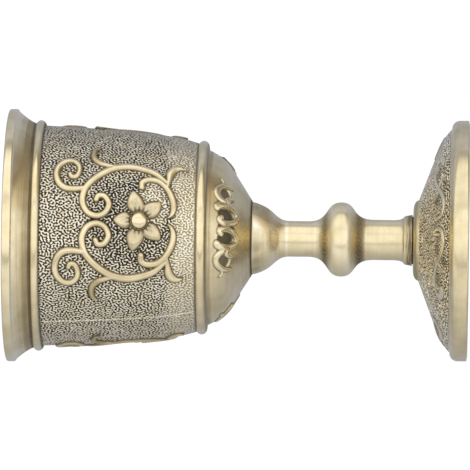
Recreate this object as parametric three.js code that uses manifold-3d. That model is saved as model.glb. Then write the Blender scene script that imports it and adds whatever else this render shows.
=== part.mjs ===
// A small cast goblet: bowl, baluster stem and domed foot, held together by a stud and a screw.
// Millimetres, +Z up. The origin is on the axis, at the surface that the foot stands on.
import * as THREE from "three";
import { mergeVertices } from "three/addons/utils/BufferGeometryUtils.js";
import Module from "manifold-3d";

// Foot
const FOOT_R = 20.9;
const FLANGE_H = 3.1; // height of the smooth flange round the edge
const FLANGE_ROUND = 1.4; // radius of the flange's top edge
const DOME_R = 19.4; // where the dome rises from the flange
const DOME_H = 5.6;
const DOME_TOP_R = 7.0;
const SHOULDER_R = 15.8; // the dome is a plain cone inside this radius
const SHOULDER_H = 2.28; // height of the cone's lower edge above the flange
const SHOULDER_REACH = 2.1; // how far the cone's line runs on under the rounded shoulder
const DISC_H = 0.95; // disc under the stem, with a rounded edge
const DISC_R = 4.9; // of its flat top
const DISC_BEND_R = 6.75; // where its edge bends over
const FOOT_WALL = 1.8; // casting thickness under the dome
const FOOT_TOP_T = 3.0; // solid thickness that the screw clamps
const STAND_W = 2.6; // width of the flat ring that the goblet stands on

// Stem
const GROOVE_R = 4.15; // shadow line between foot and collar
const GROOVE_H = 0.15;
const COLLAR_R = 4.45; // at the foot
const COLLAR_TOP_R = 4.25;
const COLLAR_H = 1.05; // up to where its top edge starts to round
const COLLAR_ROUND = 0.5;
const COLLAR_TURN = Math.PI / 3; // how far its top edge rounds before it falls towards the neck
const COLLAR_FALL_H = 2.35;
const LOWER_NECK_R = 3.5;
const LOWER_NECK_H = 3.2;
const KNOP_R = 6.45;
const KNOP_LOWER_H = 5.75; // from the lower neck to the widest part
const KNOP_UPPER_H = 5.7; // from the widest part to the upper neck
const LOWER_NECK_PULL = 0.74; // how far the knop's lower curve follows the neck, of the curve's height
const UPPER_NECK_PULL = 0.68;
const CREST_PULL = 0.52; // how far both curves follow the crest
const UPPER_NECK_R = 3.1;
const UPPER_NECK_H = 3.1;
const FLARE_R = 6.35; // top of the stem, which the bowl sits on
const FLARE_H = 6.7;
const FLARE_LOW_PULL = 0.45;
const FLARE_TOP_PULL = 0.65;
const FLARE_LEAN = 1.0; // outward lean of the flare's upper end, over the length of its pull

// Bowl, outside
const BOWL_BASE_R = 6.55;
const CONE_R = 11.9; // the bottom is a cone inside this radius
const CONE_H = 3.4;
const BOTTOM_R = 15.25; // rounded bottom, just under the lower bead
const BOTTOM_H = 7.6;
const BOTTOM_REACH = 2.1; // how far the cone's line runs on under the rounding
const LOWER_BEAD_R = 16.85;
const LOWER_BEAD_ROUND = 0.9;
const BELT_LOW_R = 16.4;
const BELT_TOP_R = 19.15;
const BELT_H = 26.65;
const BELT_SWELL_LOW = 1.35; // outward swell of the belt's curve near its lower end
const BELT_SWELL_LOW_AT = 0.15; // of the belt's height
const BELT_SWELL_TOP = 0.65; // inward lean of the belt's curve near its upper end
const BELT_SWELL_TOP_AT = 0.4;
const UPPER_BEAD_R = 20.05;
const UPPER_BEAD_ROUND = 0.8;
const BEAD_BELOW = THREE.MathUtils.degToRad(78); // a bead's round, from its crest down and up
const BEAD_ABOVE = THREE.MathUtils.degToRad(68);
const THROAT_R = 19.5; // narrowest part above the upper bead
const MOUTH_R = 21.95;
const MOUTH_FLARE_H = 3.1;
const MOUTH_BEND_R = 0.4; // the flare's bend, out from the throat
const MOUTH_BEND_AT = 0.4; // height of the bend, of the flare's
const LIP_H = 1.6;
const LIP_ROUND = 0.35;

// Bowl, inside
const BOWL_WALL = 1.6;
const BOWL_FLOOR_T = 4.4; // solid floor above the stem
const FLOOR_R = 8.0; // flat part of the inside floor
const FLOOR_BEND = 1.0; // inward lean of the side where it turns into the floor
const THROAT_BEND = 0.3; // outward lean of the inside under the mouth

// Ornament: strokes raised on the bowl and the foot. Each point of a stroke lists its distance from the
// motif's mirror line, its place up the surface, and the stroke's width there.
const MOTIFS = 3;
const RELIEF_SINK = 0.3; // how far a stroke reaches into the wall
const RELIEF_CREST = 0.5; // width of a stroke's flat crest, of its whole width
const RELIEF_TOLERANCE = 0.04; // seams between ornament and castings are simplified this far
const BOWL_TURN = 8.9; // degrees from -Y towards +X, to the mirror line of the bowl's front motif
const FOOT_TURN = 10.6;

// On the belt, up from MOTIF_RISE above its middle
const BELT_RELIEF_H = 0.42;
const BELT_MEAN_R = 18.6; // distances along the belt are measured at this radius
const MOTIF_RISE = -0.2;
const SCROLL_STEM = [
  [7.5, -8.2, 0.65], [9.35, -6.0, 1.3], [10.35, -2.6, 1.45], [10.1, 0.15, 1.45], [9.15, 2.15, 1.35],
  [7.45, 4.25, 1.25], [5.55, 5.7, 1.2], [3.25, 6.15, 1.15], [1.35, 5.3, 1.1], [0.65, 3.75, 1.1],
  [1.25, 2.25, 1.05], [2.8, 1.6, 1.05], [4.1, 2.3, 1.05], [4.25, 3.4, 1.05], [3.5, 3.8, 1.0],
];
const OUTER_VOLUTE = [
  [5.55, 6.0, 1.0], [5.35, 7.7, 1.2], [5.5, 9.15, 1.25], [6.4, 10.25, 1.25], [8.1, 10.75, 1.2],
  [9.7, 10.4, 1.15], [10.85, 9.25, 1.1], [10.95, 7.9, 1.05], [10.05, 6.95, 1.05], [8.8, 6.85, 1.0],
  [7.75, 7.35, 1.0], [8.0, 8.35, 0.9],
];
const SIDE_HOOK = [
  [10.05, 0.6, 0.6], [10.85, 3.35, 1.2], [11.7, 4.3, 1.15], [12.9, 4.5, 1.05],
  [13.95, 4.2, 0.8], [14.45, 3.4, 0.25],
];
const LOWER_SCROLL = [
  [6.15, -3.95, 1.1], [7.3, -4.1, 1.2], [7.85, -5.2, 1.25], [7.65, -6.7, 1.2], [6.8, -7.85, 1.15],
  [5.5, -8.75, 1.2], [3.8, -9.35, 1.2], [2.25, -9.45, 1.05], [1.15, -9.1, 0.75], [0.6, -8.5, 0.3],
];
const LOWER_LEAF = [
  [6.25, -8.3, 0.5], [8.2, -8.55, 1.0], [9.65, -8.75, 1.45], [10.65, -9.3, 1.5], [11.05, -10.2, 1.0],
  [10.8, -11.0, 0.25],
];
const FLOWER_RISE = -3.6;
const MIDDLE_PETAL = [90, 4.4]; // a petal's direction in degrees from the belt's run, and its length
const SIDE_PETALS = [
  [12, 5.5], [-47, 5.0],
];
const PETAL = [
  [0.22, 1.3], [0.36, 2.5], [0.52, 3.0], [0.76, 2.3], [1.0, 0.4],
]; // distance from the flower's middle, of the petal's length, and width there
const BOSS_R = 1.45;
const BOSS_H = 0.95;
const BOSS_SIDES = 12;
const BOSS_RINGS = 6;

// On the bowl's bottom, up from its seat
const FRIEZE_RELIEF_H = 0.28;
const FRIEZE_MEAN_R = 13.3;
const FRIEZE_LOOP = [
  [1.4, 8.75, 1.45], [0.75, 8.95, 1.45], [0.5, 7.9, 1.25], [0.78, 6.1, 1.25], [1.67, 4.75, 1.25],
  [2.74, 4.4, 1.3], [3.6, 5.1, 1.35], [3.87, 6.8, 1.35], [3.5, 8.8, 1.4], [3.0, 9.7, 1.4],
];
const FRIEZE_LEAF = [
  [3.75, 6.15, 0.85], [4.6, 7.1, 1.15], [5.2, 7.1, 1.2], [5.8, 5.9, 0.5],
];
const FRIEZE_ARCH = [
  [4.4, 8.0, 0.75], [4.75, 9.1, 1.2], [5.55, 9.7, 1.35], [6.45, 9.4, 1.25], [7.5, 8.3, 1.0],
  [8.25, 6.2, 0.4],
];

// On the foot's dome, up from the flange
const DOME_RELIEF_H = 0.15;
const DOME_MEAN_R = 16.0;
const DOME_SCROLL = [
  [1.93, 3.77, 0.6], [1.68, 5.85, 0.7], [0.98, 5.01, 0.75], [1.09, 3.3, 0.75], [1.95, 2.45, 0.75],
  [3.3, 2.26, 0.8], [5.03, 2.97, 0.85], [6.98, 4.44, 0.85], [8.94, 5.43, 0.85], [11.03, 5.71, 0.85],
  [12.62, 4.59, 0.9], [12.51, 2.97, 1.15], [11.45, 2.45, 1.3], [10.7, 2.55, 0.5],
];
const DOME_LEAF = [
  [6.7, 4.03, 0.5], [7.62, 2.86, 0.8], [7.71, 1.54, 0.4],
];

// Spigots that centre the pieces on each other
const BOWL_SPIGOT_R = 3.0;
const BOWL_SPIGOT_L = 2.0;
const STEM_SPIGOT_R = 3.4;
const STEM_SPIGOT_L = 1.6;
const SPIGOT_GAP = 0.15;

// Fasteners. Threads are plain cylinders, with THREAD_GAP between bolt and tapped hole.
const STUD_R = 1.5;
const STUD_IN_BOWL = 4.3;
const STUD_IN_STEM = 6.8;
const SCREW_R = 2.0;
const SCREW_L = 14.0;
const SCREW_HOLE_GAP = 0.3; // clearance hole in the foot
const THREAD_GAP = 0.15;
const DRILL_SPARE = 0.8; // each tapped hole runs this far past its bolt
const BOLT_CHAMFER = 0.4;
const HEAD_R = 4.0;
const HEAD_H = 2.4;
const HEAD_CROWN = 0.9; // height of the head's rounded top
const RECESS_L = 4.4; // cross recess, tip to tip
const RECESS_W = 0.9;
const RECESS_DEPTH = 1.3;
const FLAT_WASHER_R = 4.5;
const FLAT_WASHER_T = 0.8;
const SPRING_WASHER_R = 3.6;
const SPRING_WASHER_T = 1.0;
const SPRING_SLIT = 0.6;
const SPRING_SLIT_TILT = THREE.MathUtils.degToRad(20);
const WASHER_GAP = 0.15; // between a washer and the screw's shank

// Fineness of the faceted solids
const CASTING_SIDES = 48;
const STEM_SIDES = 32;
const BOLT_SIDES = 20;
const CURVE_STEPS = 5; // of each curve of the castings' outlines
const BEAD_STEPS = 2; // an arc gets twice this many steps
const LIP_STEPS = 1;
const INSIDE_STEPS = 3; // of each curve inside the bowl
const STEM_STEPS = 8; // of each curve of the stem
const WELD = 1e-4; // points nearer than this are one

// Heights that the pieces share
const shoulder_z = FLANGE_H + SHOULDER_H;
const dome_top_z = FLANGE_H + DOME_H;
const dome_slope = (dome_top_z - shoulder_z) / (SHOULDER_R - DOME_TOP_R);
const foot_h = dome_top_z + DISC_H;
const collar_top = GROOVE_H + COLLAR_H + COLLAR_FALL_H;
const knop_z = collar_top + LOWER_NECK_H + KNOP_LOWER_H;
const upper_neck_z = knop_z + KNOP_UPPER_H;
const flare_z = upper_neck_z + UPPER_NECK_H;
const stem_h = flare_z + FLARE_H;
const bowl_z = foot_h + stem_h;
const clamp_z = foot_h - FOOT_TOP_T;
const flat_washer_z = clamp_z - FLAT_WASHER_T;
const spring_washer_z = flat_washer_z - SPRING_WASHER_T;

const antique_brass = new THREE.MeshStandardMaterial({ color: 0xb59f6b, roughness: 0.38, metalness: 1.0 });
const zinc_steel = new THREE.MeshStandardMaterial({ color: 0xb4b6b4, roughness: 0.35, metalness: 1.0 });

const wasm = await Module();
wasm.setup();

// A closed three.js geometry as a solid that can be cut.
function solid_of(geometry) {
  const bare = geometry.index ? geometry.toNonIndexed() : geometry.clone();
  bare.deleteAttribute("normal");
  bare.deleteAttribute("uv");
  const merged = mergeVertices(bare, WELD);
  return new wasm.Manifold(
    new wasm.Mesh({
      numProp: 3,
      vertProperties: merged.attributes.position.array,
      triVerts: new Uint32Array(merged.index.array),
    }),
  );
}

function geometry_of(solid) {
  const mesh = solid.getMesh();
  const geometry = new THREE.BufferGeometry();
  geometry.setAttribute("position", new THREE.BufferAttribute(mesh.vertProperties, 3));
  geometry.setIndex(new THREE.BufferAttribute(mesh.triVerts, 1));
  geometry.computeVertexNormals();
  return geometry;
}

// An outline of radius and height, turned about the Z axis. The material lies to the left of the outline.
function turned(outline, sides) {
  return new THREE.LatheGeometry(outline, sides).rotateX(Math.PI / 2);
}

// Points along a curve of the outline, without its first point.
function along(curve, steps = CURVE_STEPS) {
  return curve.getPoints(steps).slice(1);
}

function at(radius, height) {
  return new THREE.Vector2(radius, height);
}

// A quarter or part circle of the outline, from one angle to the other.
function arc(radius, height, round, from, to, steps = BEAD_STEPS) {
  const path = new THREE.Path();
  path.absarc(radius, height, round, from, to, to < from);
  return path.getPoints(steps);
}

// An S-curve of the stem that leaves and arrives along the axis, with pulls in shares of its height.
function ogee(from, to, leave, arrive) {
  const leave_z = from.y + leave * (to.y - from.y);
  const arrive_z = to.y - arrive * (to.y - from.y);
  return along(new THREE.CubicBezierCurve(from, at(from.x, leave_z), at(to.x, arrive_z), to), STEM_STEPS);
}

// Half-round moulding with its crest at a radius, from one angle below to one above the crest.
function bead(crest_r, crest_z, round, below, above) {
  return arc(crest_r - round, crest_z, round, -below, above);
}

function piece(name, geometry, material, height) {
  const mesh = new THREE.Mesh(geometry, material);
  mesh.name = name;
  mesh.position.z = height;
  return mesh;
}

// Puts a stroke's point on a turned outline: distance round it, place up it from a zero, and lift off it.
function place_on(path, zero, mean_r) {
  const length = path.getLength();
  return (round, up, lift) => {
    const share = THREE.MathUtils.clamp((zero + up) / length, 0, 1);
    const spot = path.getPointAt(share);
    const way = path.getTangentAt(share);
    const angle = round / mean_r;
    const radius = spot.x + lift * way.y;
    return [radius * Math.sin(angle), -radius * Math.cos(angle), spot.y - lift * way.x];
  };
}

// A raised stroke, as a solid that reaches into the wall.
function stroke(points, place, relief_h) {
  const sunk = RELIEF_SINK / (RELIEF_SINK + relief_h);
  const root = (1 - RELIEF_CREST * sunk) / (1 - sunk); // half-widths from the middle to the sunk edge
  const corners = [
    [-root, -RELIEF_SINK],
    [root, -RELIEF_SINK],
    [RELIEF_CREST, relief_h],
    [-RELIEF_CREST, relief_h],
  ];
  const positions = [];
  points.forEach(([round, up, width], i) => {
    const before = points[Math.max(i - 1, 0)];
    const after = points[Math.min(i + 1, points.length - 1)];
    const way = at(after[0] - before[0], after[1] - before[1]).normalize();
    for (const [across, lift] of corners) {
      const aside = (across * width) / 2;
      positions.push(...place(round - way.y * aside, up + way.x * aside, lift));
    }
  });
  const last = corners.length * (points.length - 1);
  const triangles = [0, 3, 2, 0, 2, 1, last, last + 1, last + 2, last, last + 2, last + 3];
  for (let start = 0; start < last; start += corners.length) {
    for (let k = 0; k < corners.length; k++) {
      const a = start + k;
      const b = start + ((k + 1) % corners.length);
      triangles.push(a, b, b + corners.length, a, b + corners.length, a + corners.length);
    }
  }
  const geometry = new THREE.BufferGeometry();
  geometry.setAttribute("position", new THREE.Float32BufferAttribute(positions, 3));
  geometry.setIndex(triangles);
  return solid_of(geometry);
}

// Strokes on both sides of their mirror line, which faces -Y.
function mirrored(strokes, place, relief_h) {
  const half = strokes.map((points) => stroke(points, place, relief_h));
  return [...half, ...half.map((solid) => solid.mirror([1, 0, 0]))];
}

// A casting with a motif repeated round it, the first one turned from -Y.
function ornamented(casting, motif, turn) {
  const front = wasm.Manifold.union(motif);
  const copies = [];
  for (let k = 0; k < MOTIFS; k++) {
    copies.push(front.rotate([0, 0, turn + (360 * k) / MOTIFS]));
  }
  return geometry_of(wasm.Manifold.union([solid_of(casting), ...copies]).simplify(RELIEF_TOLERANCE));
}

// The dome's outside, from the flange up to the disc.
function dome_path() {
  const bend_r = SHOULDER_R + SHOULDER_REACH;
  const path = new THREE.Path();
  path.moveTo(DOME_R, FLANGE_H);
  path.quadraticCurveTo(bend_r, shoulder_z - dome_slope * SHOULDER_REACH, SHOULDER_R, shoulder_z);
  path.lineTo(DOME_TOP_R, dome_top_z);
  return path;
}

function foot() {
  const wall_drop = FOOT_WALL * Math.hypot(1, dome_slope);
  const clamp_r = DOME_TOP_R + (dome_top_z - wall_drop - clamp_z) / dome_slope;
  const stand_r = FOOT_R - STAND_W;
  const hollow_r = stand_r - FOOT_WALL;
  const hollow_z = dome_top_z - dome_slope * (hollow_r - DOME_TOP_R) - wall_drop;
  const bolt_hole_r = SCREW_R + SCREW_HOLE_GAP;
  const socket_r = STEM_SPIGOT_R + SPIGOT_GAP;
  const socket_z = foot_h - STEM_SPIGOT_L - SPIGOT_GAP;
  const disc_edge = new THREE.QuadraticBezierCurve(
    at(DOME_TOP_R, dome_top_z),
    at(DISC_BEND_R, foot_h),
    at(DISC_R, foot_h),
  );
  const dome = dome_path();
  const outline = [
    at(bolt_hole_r, clamp_z),
    at(clamp_r, clamp_z),
    at(hollow_r, hollow_z),
    at(stand_r, hollow_z - FOOT_WALL),
    at(stand_r, 0),
    at(FOOT_R, 0),
    ...arc(FOOT_R - FLANGE_ROUND, FLANGE_H - FLANGE_ROUND, FLANGE_ROUND, 0, Math.PI / 2),
    ...dome.getPoints(CURVE_STEPS),
    ...along(disc_edge),
    at(socket_r, foot_h),
    at(socket_r, socket_z),
    at(bolt_hole_r, socket_z),
    at(bolt_hole_r, clamp_z),
  ];
  const motif = mirrored([DOME_SCROLL, DOME_LEAF], place_on(dome, 0, DOME_MEAN_R), DOME_RELIEF_H);
  return piece("foot", ornamented(turned(outline, CASTING_SIDES), motif, FOOT_TURN), antique_brass, 0);
}

function stem() {
  const tapped_r = SCREW_R + THREAD_GAP;
  const tapped_top = spring_washer_z + SCREW_L + DRILL_SPARE - foot_h;
  const stud_hole_r = STUD_R + THREAD_GAP;
  const socket_r = BOWL_SPIGOT_R + SPIGOT_GAP;
  const socket_z = stem_h - BOWL_SPIGOT_L - SPIGOT_GAP;
  const stud_hole_z = stem_h - BOWL_SPIGOT_L - STUD_IN_STEM - DRILL_SPARE;
  const collar_edge = arc(COLLAR_TOP_R - COLLAR_ROUND, GROOVE_H + COLLAR_H, COLLAR_ROUND, 0, COLLAR_TURN);
  const fall_start = collar_edge[collar_edge.length - 1];
  const neck_start = at(LOWER_NECK_R, collar_top);
  const neck_end = at(LOWER_NECK_R, collar_top + LOWER_NECK_H);
  const crest = at(KNOP_R, knop_z);
  const upper_neck = at(UPPER_NECK_R, upper_neck_z);
  const flare_start = at(UPPER_NECK_R, flare_z);
  const collar_fall = new THREE.QuadraticBezierCurve(
    fall_start,
    at(LOWER_NECK_R, fall_start.y + (fall_start.x - LOWER_NECK_R) / Math.tan(COLLAR_TURN)),
    neck_start,
  );
  const flare = new THREE.CubicBezierCurve(
    flare_start,
    at(UPPER_NECK_R, flare_z + FLARE_LOW_PULL * FLARE_H),
    at(FLARE_R - FLARE_LEAN, stem_h - FLARE_TOP_PULL * FLARE_H),
    at(FLARE_R, stem_h),
  );
  const outline = [
    at(0, tapped_top),
    at(tapped_r, tapped_top),
    at(tapped_r, -STEM_SPIGOT_L),
    at(STEM_SPIGOT_R, -STEM_SPIGOT_L),
    at(STEM_SPIGOT_R, 0),
    at(GROOVE_R, 0),
    at(GROOVE_R, GROOVE_H),
    at(COLLAR_R, GROOVE_H),
    ...collar_edge,
    ...along(collar_fall),
    neck_end,
    ...ogee(neck_end, crest, LOWER_NECK_PULL, CREST_PULL),
    ...ogee(crest, upper_neck, CREST_PULL, UPPER_NECK_PULL),
    flare_start,
    ...along(flare, STEM_STEPS),
    at(socket_r, stem_h),
    at(socket_r, socket_z),
    at(stud_hole_r, socket_z),
    at(stud_hole_r, stud_hole_z),
    at(0, stud_hole_z),
  ];
  return piece("stem", turned(outline, STEM_SIDES), antique_brass, foot_h);
}

// Heights inside the bowl, from its seat on the stem.
const lower_bead_z = BOTTOM_H + LOWER_BEAD_ROUND;
const belt_z = lower_bead_z + LOWER_BEAD_ROUND;
const belt_top_z = belt_z + BELT_H;
const upper_bead_z = belt_top_z + UPPER_BEAD_ROUND;
const throat_z = upper_bead_z + UPPER_BEAD_ROUND;
const lip_z = throat_z + MOUTH_FLARE_H;
const bowl_h = lip_z + LIP_H;

// The belt's swelling side, moved inwards by a wall.
function belt_path(wall) {
  const low_r = BELT_LOW_R - wall;
  const top_r = BELT_TOP_R - wall;
  const swell_low_z = belt_z + BELT_SWELL_LOW_AT * BELT_H;
  const swell_top_z = belt_z + BELT_SWELL_TOP_AT * BELT_H;
  const path = new THREE.Path();
  path.moveTo(low_r, belt_z);
  path.bezierCurveTo(
    low_r + BELT_SWELL_LOW,
    swell_low_z,
    top_r - BELT_SWELL_TOP,
    swell_top_z,
    top_r,
    belt_top_z,
  );
  return path;
}

// The bottom's outside, from the seat on the stem up to the lower bead.
function bottom_path() {
  const cone_slope = CONE_H / (CONE_R - BOWL_BASE_R);
  const path = new THREE.Path();
  path.moveTo(BOWL_BASE_R, 0);
  path.lineTo(CONE_R, CONE_H);
  path.quadraticCurveTo(CONE_R + BOTTOM_REACH, CONE_H + cone_slope * BOTTOM_REACH, BOTTOM_R, BOTTOM_H);
  return path;
}

function bowl_outside() {
  const flare = new THREE.QuadraticBezierCurve(
    at(THROAT_R, throat_z),
    at(THROAT_R + MOUTH_BEND_R, throat_z + MOUTH_BEND_AT * MOUTH_FLARE_H),
    at(MOUTH_R - LIP_ROUND, lip_z),
  );
  return [
    ...bottom_path().getPoints(CURVE_STEPS),
    ...bead(LOWER_BEAD_R, lower_bead_z, LOWER_BEAD_ROUND, BEAD_BELOW, BEAD_ABOVE),
    ...belt_path(0).getPoints(CURVE_STEPS),
    ...bead(UPPER_BEAD_R, upper_bead_z, UPPER_BEAD_ROUND, BEAD_BELOW, BEAD_ABOVE),
    at(THROAT_R, throat_z),
    ...along(flare),
    ...arc(MOUTH_R - LIP_ROUND, lip_z + LIP_ROUND, LIP_ROUND, -Math.PI / 4, 0, LIP_STEPS),
    ...arc(MOUTH_R - LIP_ROUND, bowl_h - LIP_ROUND, LIP_ROUND, 0, Math.PI / 2, LIP_STEPS),
  ];
}

function bowl_inside() {
  const mouth = at(MOUTH_R - BOWL_WALL, bowl_h);
  const throat = at(BELT_TOP_R - BOWL_WALL, belt_top_z);
  const flare = new THREE.QuadraticBezierCurve(mouth, at(throat.x + THROAT_BEND, throat_z), throat);
  const side = belt_path(BOWL_WALL).getPoints(INSIDE_STEPS).reverse();
  const low = side[side.length - 1];
  const floor = new THREE.QuadraticBezierCurve(
    low,
    at(low.x - FLOOR_BEND, BOWL_FLOOR_T),
    at(FLOOR_R, BOWL_FLOOR_T),
  );
  return [
    ...arc(mouth.x + LIP_ROUND, bowl_h - LIP_ROUND, LIP_ROUND, Math.PI / 2, Math.PI, LIP_STEPS),
    ...along(flare, INSIDE_STEPS),
    ...side.slice(1),
    ...along(floor, INSIDE_STEPS),
    at(0, BOWL_FLOOR_T),
  ];
}

// A petal's points, from the middle of the flower outwards.
function petal([direction, length]) {
  const turn = THREE.MathUtils.degToRad(direction);
  return PETAL.map(([out, width]) => [
    out * length * Math.cos(turn),
    FLOWER_RISE + out * length * Math.sin(turn),
    width,
  ]);
}

// The belt's motif: scrolls on both sides of its mirror line, and a flower on it.
function belt_motif() {
  const belt = belt_path(0);
  const place = place_on(belt, belt.getLength() / 2 + MOTIF_RISE, BELT_MEAN_R);
  const scrolls = [SCROLL_STEM, OUTER_VOLUTE, SIDE_HOOK, LOWER_SCROLL, LOWER_LEAF];
  const halves = mirrored([...scrolls, ...SIDE_PETALS.map(petal)], place, BELT_RELIEF_H);
  const middle = stroke(petal(MIDDLE_PETAL), place, BELT_RELIEF_H);
  const boss = new THREE.SphereGeometry(BOSS_R, BOSS_SIDES, BOSS_RINGS)
    .scale(1, BOSS_H / BOSS_R, 1)
    .translate(...place(0, FLOWER_RISE, 0));
  return [...halves, middle, solid_of(boss)];
}

function frieze_motif() {
  const place = place_on(bottom_path(), 0, FRIEZE_MEAN_R);
  return mirrored([FRIEZE_LOOP, FRIEZE_LEAF, FRIEZE_ARCH], place, FRIEZE_RELIEF_H);
}

function cup_bowl() {
  const stud_hole_r = STUD_R + THREAD_GAP;
  const stud_hole_top = STUD_IN_BOWL - BOWL_SPIGOT_L + DRILL_SPARE;
  const outline = [
    at(0, stud_hole_top),
    at(stud_hole_r, stud_hole_top),
    at(stud_hole_r, -BOWL_SPIGOT_L),
    at(BOWL_SPIGOT_R, -BOWL_SPIGOT_L),
    at(BOWL_SPIGOT_R, 0),
    ...bowl_outside(),
    ...bowl_inside(),
  ];
  const motif = [...belt_motif(), ...frieze_motif()];
  const geometry = ornamented(turned(outline, CASTING_SIDES), motif, BOWL_TURN);
  return piece("cup_bowl", geometry, antique_brass, bowl_z);
}

function bowl_stud() {
  const length = STUD_IN_BOWL + STUD_IN_STEM;
  const outline = [
    at(0, 0),
    at(STUD_R - BOLT_CHAMFER, 0),
    at(STUD_R, BOLT_CHAMFER),
    at(STUD_R, length - BOLT_CHAMFER),
    at(STUD_R - BOLT_CHAMFER, length),
    at(0, length),
  ];
  const height = bowl_z - BOWL_SPIGOT_L - STUD_IN_STEM;
  return piece("bowl_stud", turned(outline, BOLT_SIDES), zinc_steel, height);
}

// Pan-head screw, its head below the washers and its shank up into the stem.
function foot_screw() {
  const crown = new THREE.QuadraticBezierCurve(
    at(HEAD_R - HEAD_CROWN, -HEAD_H),
    at(HEAD_R, -HEAD_H),
    at(HEAD_R, HEAD_CROWN - HEAD_H),
  );
  const outline = [
    at(0, -HEAD_H),
    at(HEAD_R - HEAD_CROWN, -HEAD_H),
    ...along(crown),
    at(HEAD_R, 0),
    at(SCREW_R, 0),
    at(SCREW_R, SCREW_L - BOLT_CHAMFER),
    at(SCREW_R - BOLT_CHAMFER, SCREW_L),
    at(0, SCREW_L),
  ];
  const blank = solid_of(turned(outline, BOLT_SIDES));
  const slot_h = 2 * RECESS_DEPTH; // half of the cutter stands clear below the head
  const slots = [
    new THREE.BoxGeometry(RECESS_L, RECESS_W, slot_h).translate(0, 0, -HEAD_H),
    new THREE.BoxGeometry(RECESS_W, RECESS_L, slot_h).translate(0, 0, -HEAD_H),
  ];
  const cut = slots.reduce((body, slot) => body.subtract(solid_of(slot)), blank);
  return piece("foot_screw", geometry_of(cut), zinc_steel, spring_washer_z);
}

function ring(radius, thickness) {
  const bore = SCREW_R + WASHER_GAP;
  const outline = [
    at(bore, 0),
    at(radius, 0),
    at(radius, thickness),
    at(bore, thickness),
    at(bore, 0),
  ];
  return turned(outline, BOLT_SIDES);
}

function flat_washer() {
  return piece("flat_washer", ring(FLAT_WASHER_R, FLAT_WASHER_T), zinc_steel, flat_washer_z);
}

// Split lock washer, pressed flat, with its slanting slit.
function spring_washer() {
  const slit = new THREE.BoxGeometry(2 * SPRING_WASHER_R, SPRING_SLIT, 3 * SPRING_WASHER_T);
  slit.rotateX(SPRING_SLIT_TILT);
  slit.translate(SPRING_WASHER_R, 0, SPRING_WASHER_T / 2);
  const split = solid_of(ring(SPRING_WASHER_R, SPRING_WASHER_T)).subtract(solid_of(slit));
  return piece("spring_washer", geometry_of(split), zinc_steel, spring_washer_z);
}

const goblet = new THREE.Group();
goblet.name = "goblet";
goblet.add(foot(), stem(), cup_bowl(), bowl_stud(), foot_screw(), spring_washer(), flat_washer());

export default goblet;
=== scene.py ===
"""A small antique-brass goblet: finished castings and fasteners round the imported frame, with a studio
and the camera."""
import math

import bpy
import numpy as np
from mathutils import Matrix, Vector


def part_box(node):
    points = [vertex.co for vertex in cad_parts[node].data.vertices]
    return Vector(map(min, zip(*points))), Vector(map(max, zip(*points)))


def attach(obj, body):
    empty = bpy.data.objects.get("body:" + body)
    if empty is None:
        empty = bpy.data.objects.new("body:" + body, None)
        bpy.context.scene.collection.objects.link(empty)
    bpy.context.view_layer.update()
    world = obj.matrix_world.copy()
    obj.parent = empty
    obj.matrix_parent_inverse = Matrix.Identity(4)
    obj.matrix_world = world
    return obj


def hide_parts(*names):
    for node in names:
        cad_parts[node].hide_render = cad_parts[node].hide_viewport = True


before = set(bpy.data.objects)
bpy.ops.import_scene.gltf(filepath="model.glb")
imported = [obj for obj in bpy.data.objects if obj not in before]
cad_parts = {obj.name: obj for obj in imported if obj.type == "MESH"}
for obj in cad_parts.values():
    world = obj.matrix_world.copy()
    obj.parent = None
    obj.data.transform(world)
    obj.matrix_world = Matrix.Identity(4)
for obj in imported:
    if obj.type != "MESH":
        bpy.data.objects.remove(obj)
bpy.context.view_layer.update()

MM = 0.001


def corners(node):
    """A node's lowest and highest corner, in millimetres."""
    low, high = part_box(node)
    return np.array(low) / MM, np.array(high) / MM


# Heights and radii that the frame gives, in millimetres
FOOT_HIGH = corners("foot")[1]
STEM_LOW, STEM_HIGH = corners("stem")
CUP_LOW, CUP_HIGH = corners("cup_bowl")
STUD_LOW, STUD_HIGH = corners("bowl_stud")
SCREW_LOW, SCREW_HIGH = corners("foot_screw")
SPRING_LOW, SPRING_HIGH = corners("spring_washer")
FLAT_LOW, FLAT_HIGH = corners("flat_washer")
FOOT_R = FOOT_HIGH[0]
FOOT_H = FOOT_HIGH[2]
BOWL_Z = STEM_HIGH[2]
MOUTH_R = CUP_HIGH[0]
TOP_Z = CUP_HIGH[2]

# Foot, as in the solids
FLANGE_H = 3.1
FLANGE_ROUND = 1.4
DOME_R = 19.4
DOME_TOP_R = 7.0
DISC_H = 0.95
DISC_R = 4.9
DISC_BEND_R = 6.75
SHOULDER_R = 15.8
SHOULDER_H = 2.28
SHOULDER_REACH = 2.1
FOOT_WALL = 1.8
FOOT_EDGE = 0.2
STAND_W = 2.6
FOOT_SOCKET_R = 3.55
FOOT_BOLT_R = 2.3

# Stem, as in the solids
STEM_SPIGOT_R = 3.4
SPIGOT_GAP = 0.15
TAPPED_R = 2.15
TAPPED_TOP = 10.0
STUD_HOLE_R = 1.65
STUD_HOLE_DEPTH = 9.6
BOWL_SOCKET_R = 3.15
BOWL_SOCKET_DEPTH = 2.15
GROOVE_R = 4.15
GROOVE_H = 0.15
COLLAR_R = 4.45
COLLAR_TOP_R = 4.25
COLLAR_H = 1.05
COLLAR_ROUND = 0.5
COLLAR_TURN = 60
COLLAR_FALL_H = 2.35
LOWER_NECK_R = 3.5
LOWER_NECK_H = 3.2
KNOP_R = 6.45
KNOP_LOWER_H = 5.75
KNOP_UPPER_H = 5.7
LOWER_NECK_PULL = 0.74
UPPER_NECK_PULL = 0.68
CREST_PULL = 0.52
UPPER_NECK_R = 3.1
UPPER_NECK_H = 3.1
FLARE_R = 6.35
FLARE_H = 6.7
FLARE_LOW_PULL = 0.45
FLARE_TOP_PULL = 0.65
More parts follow.
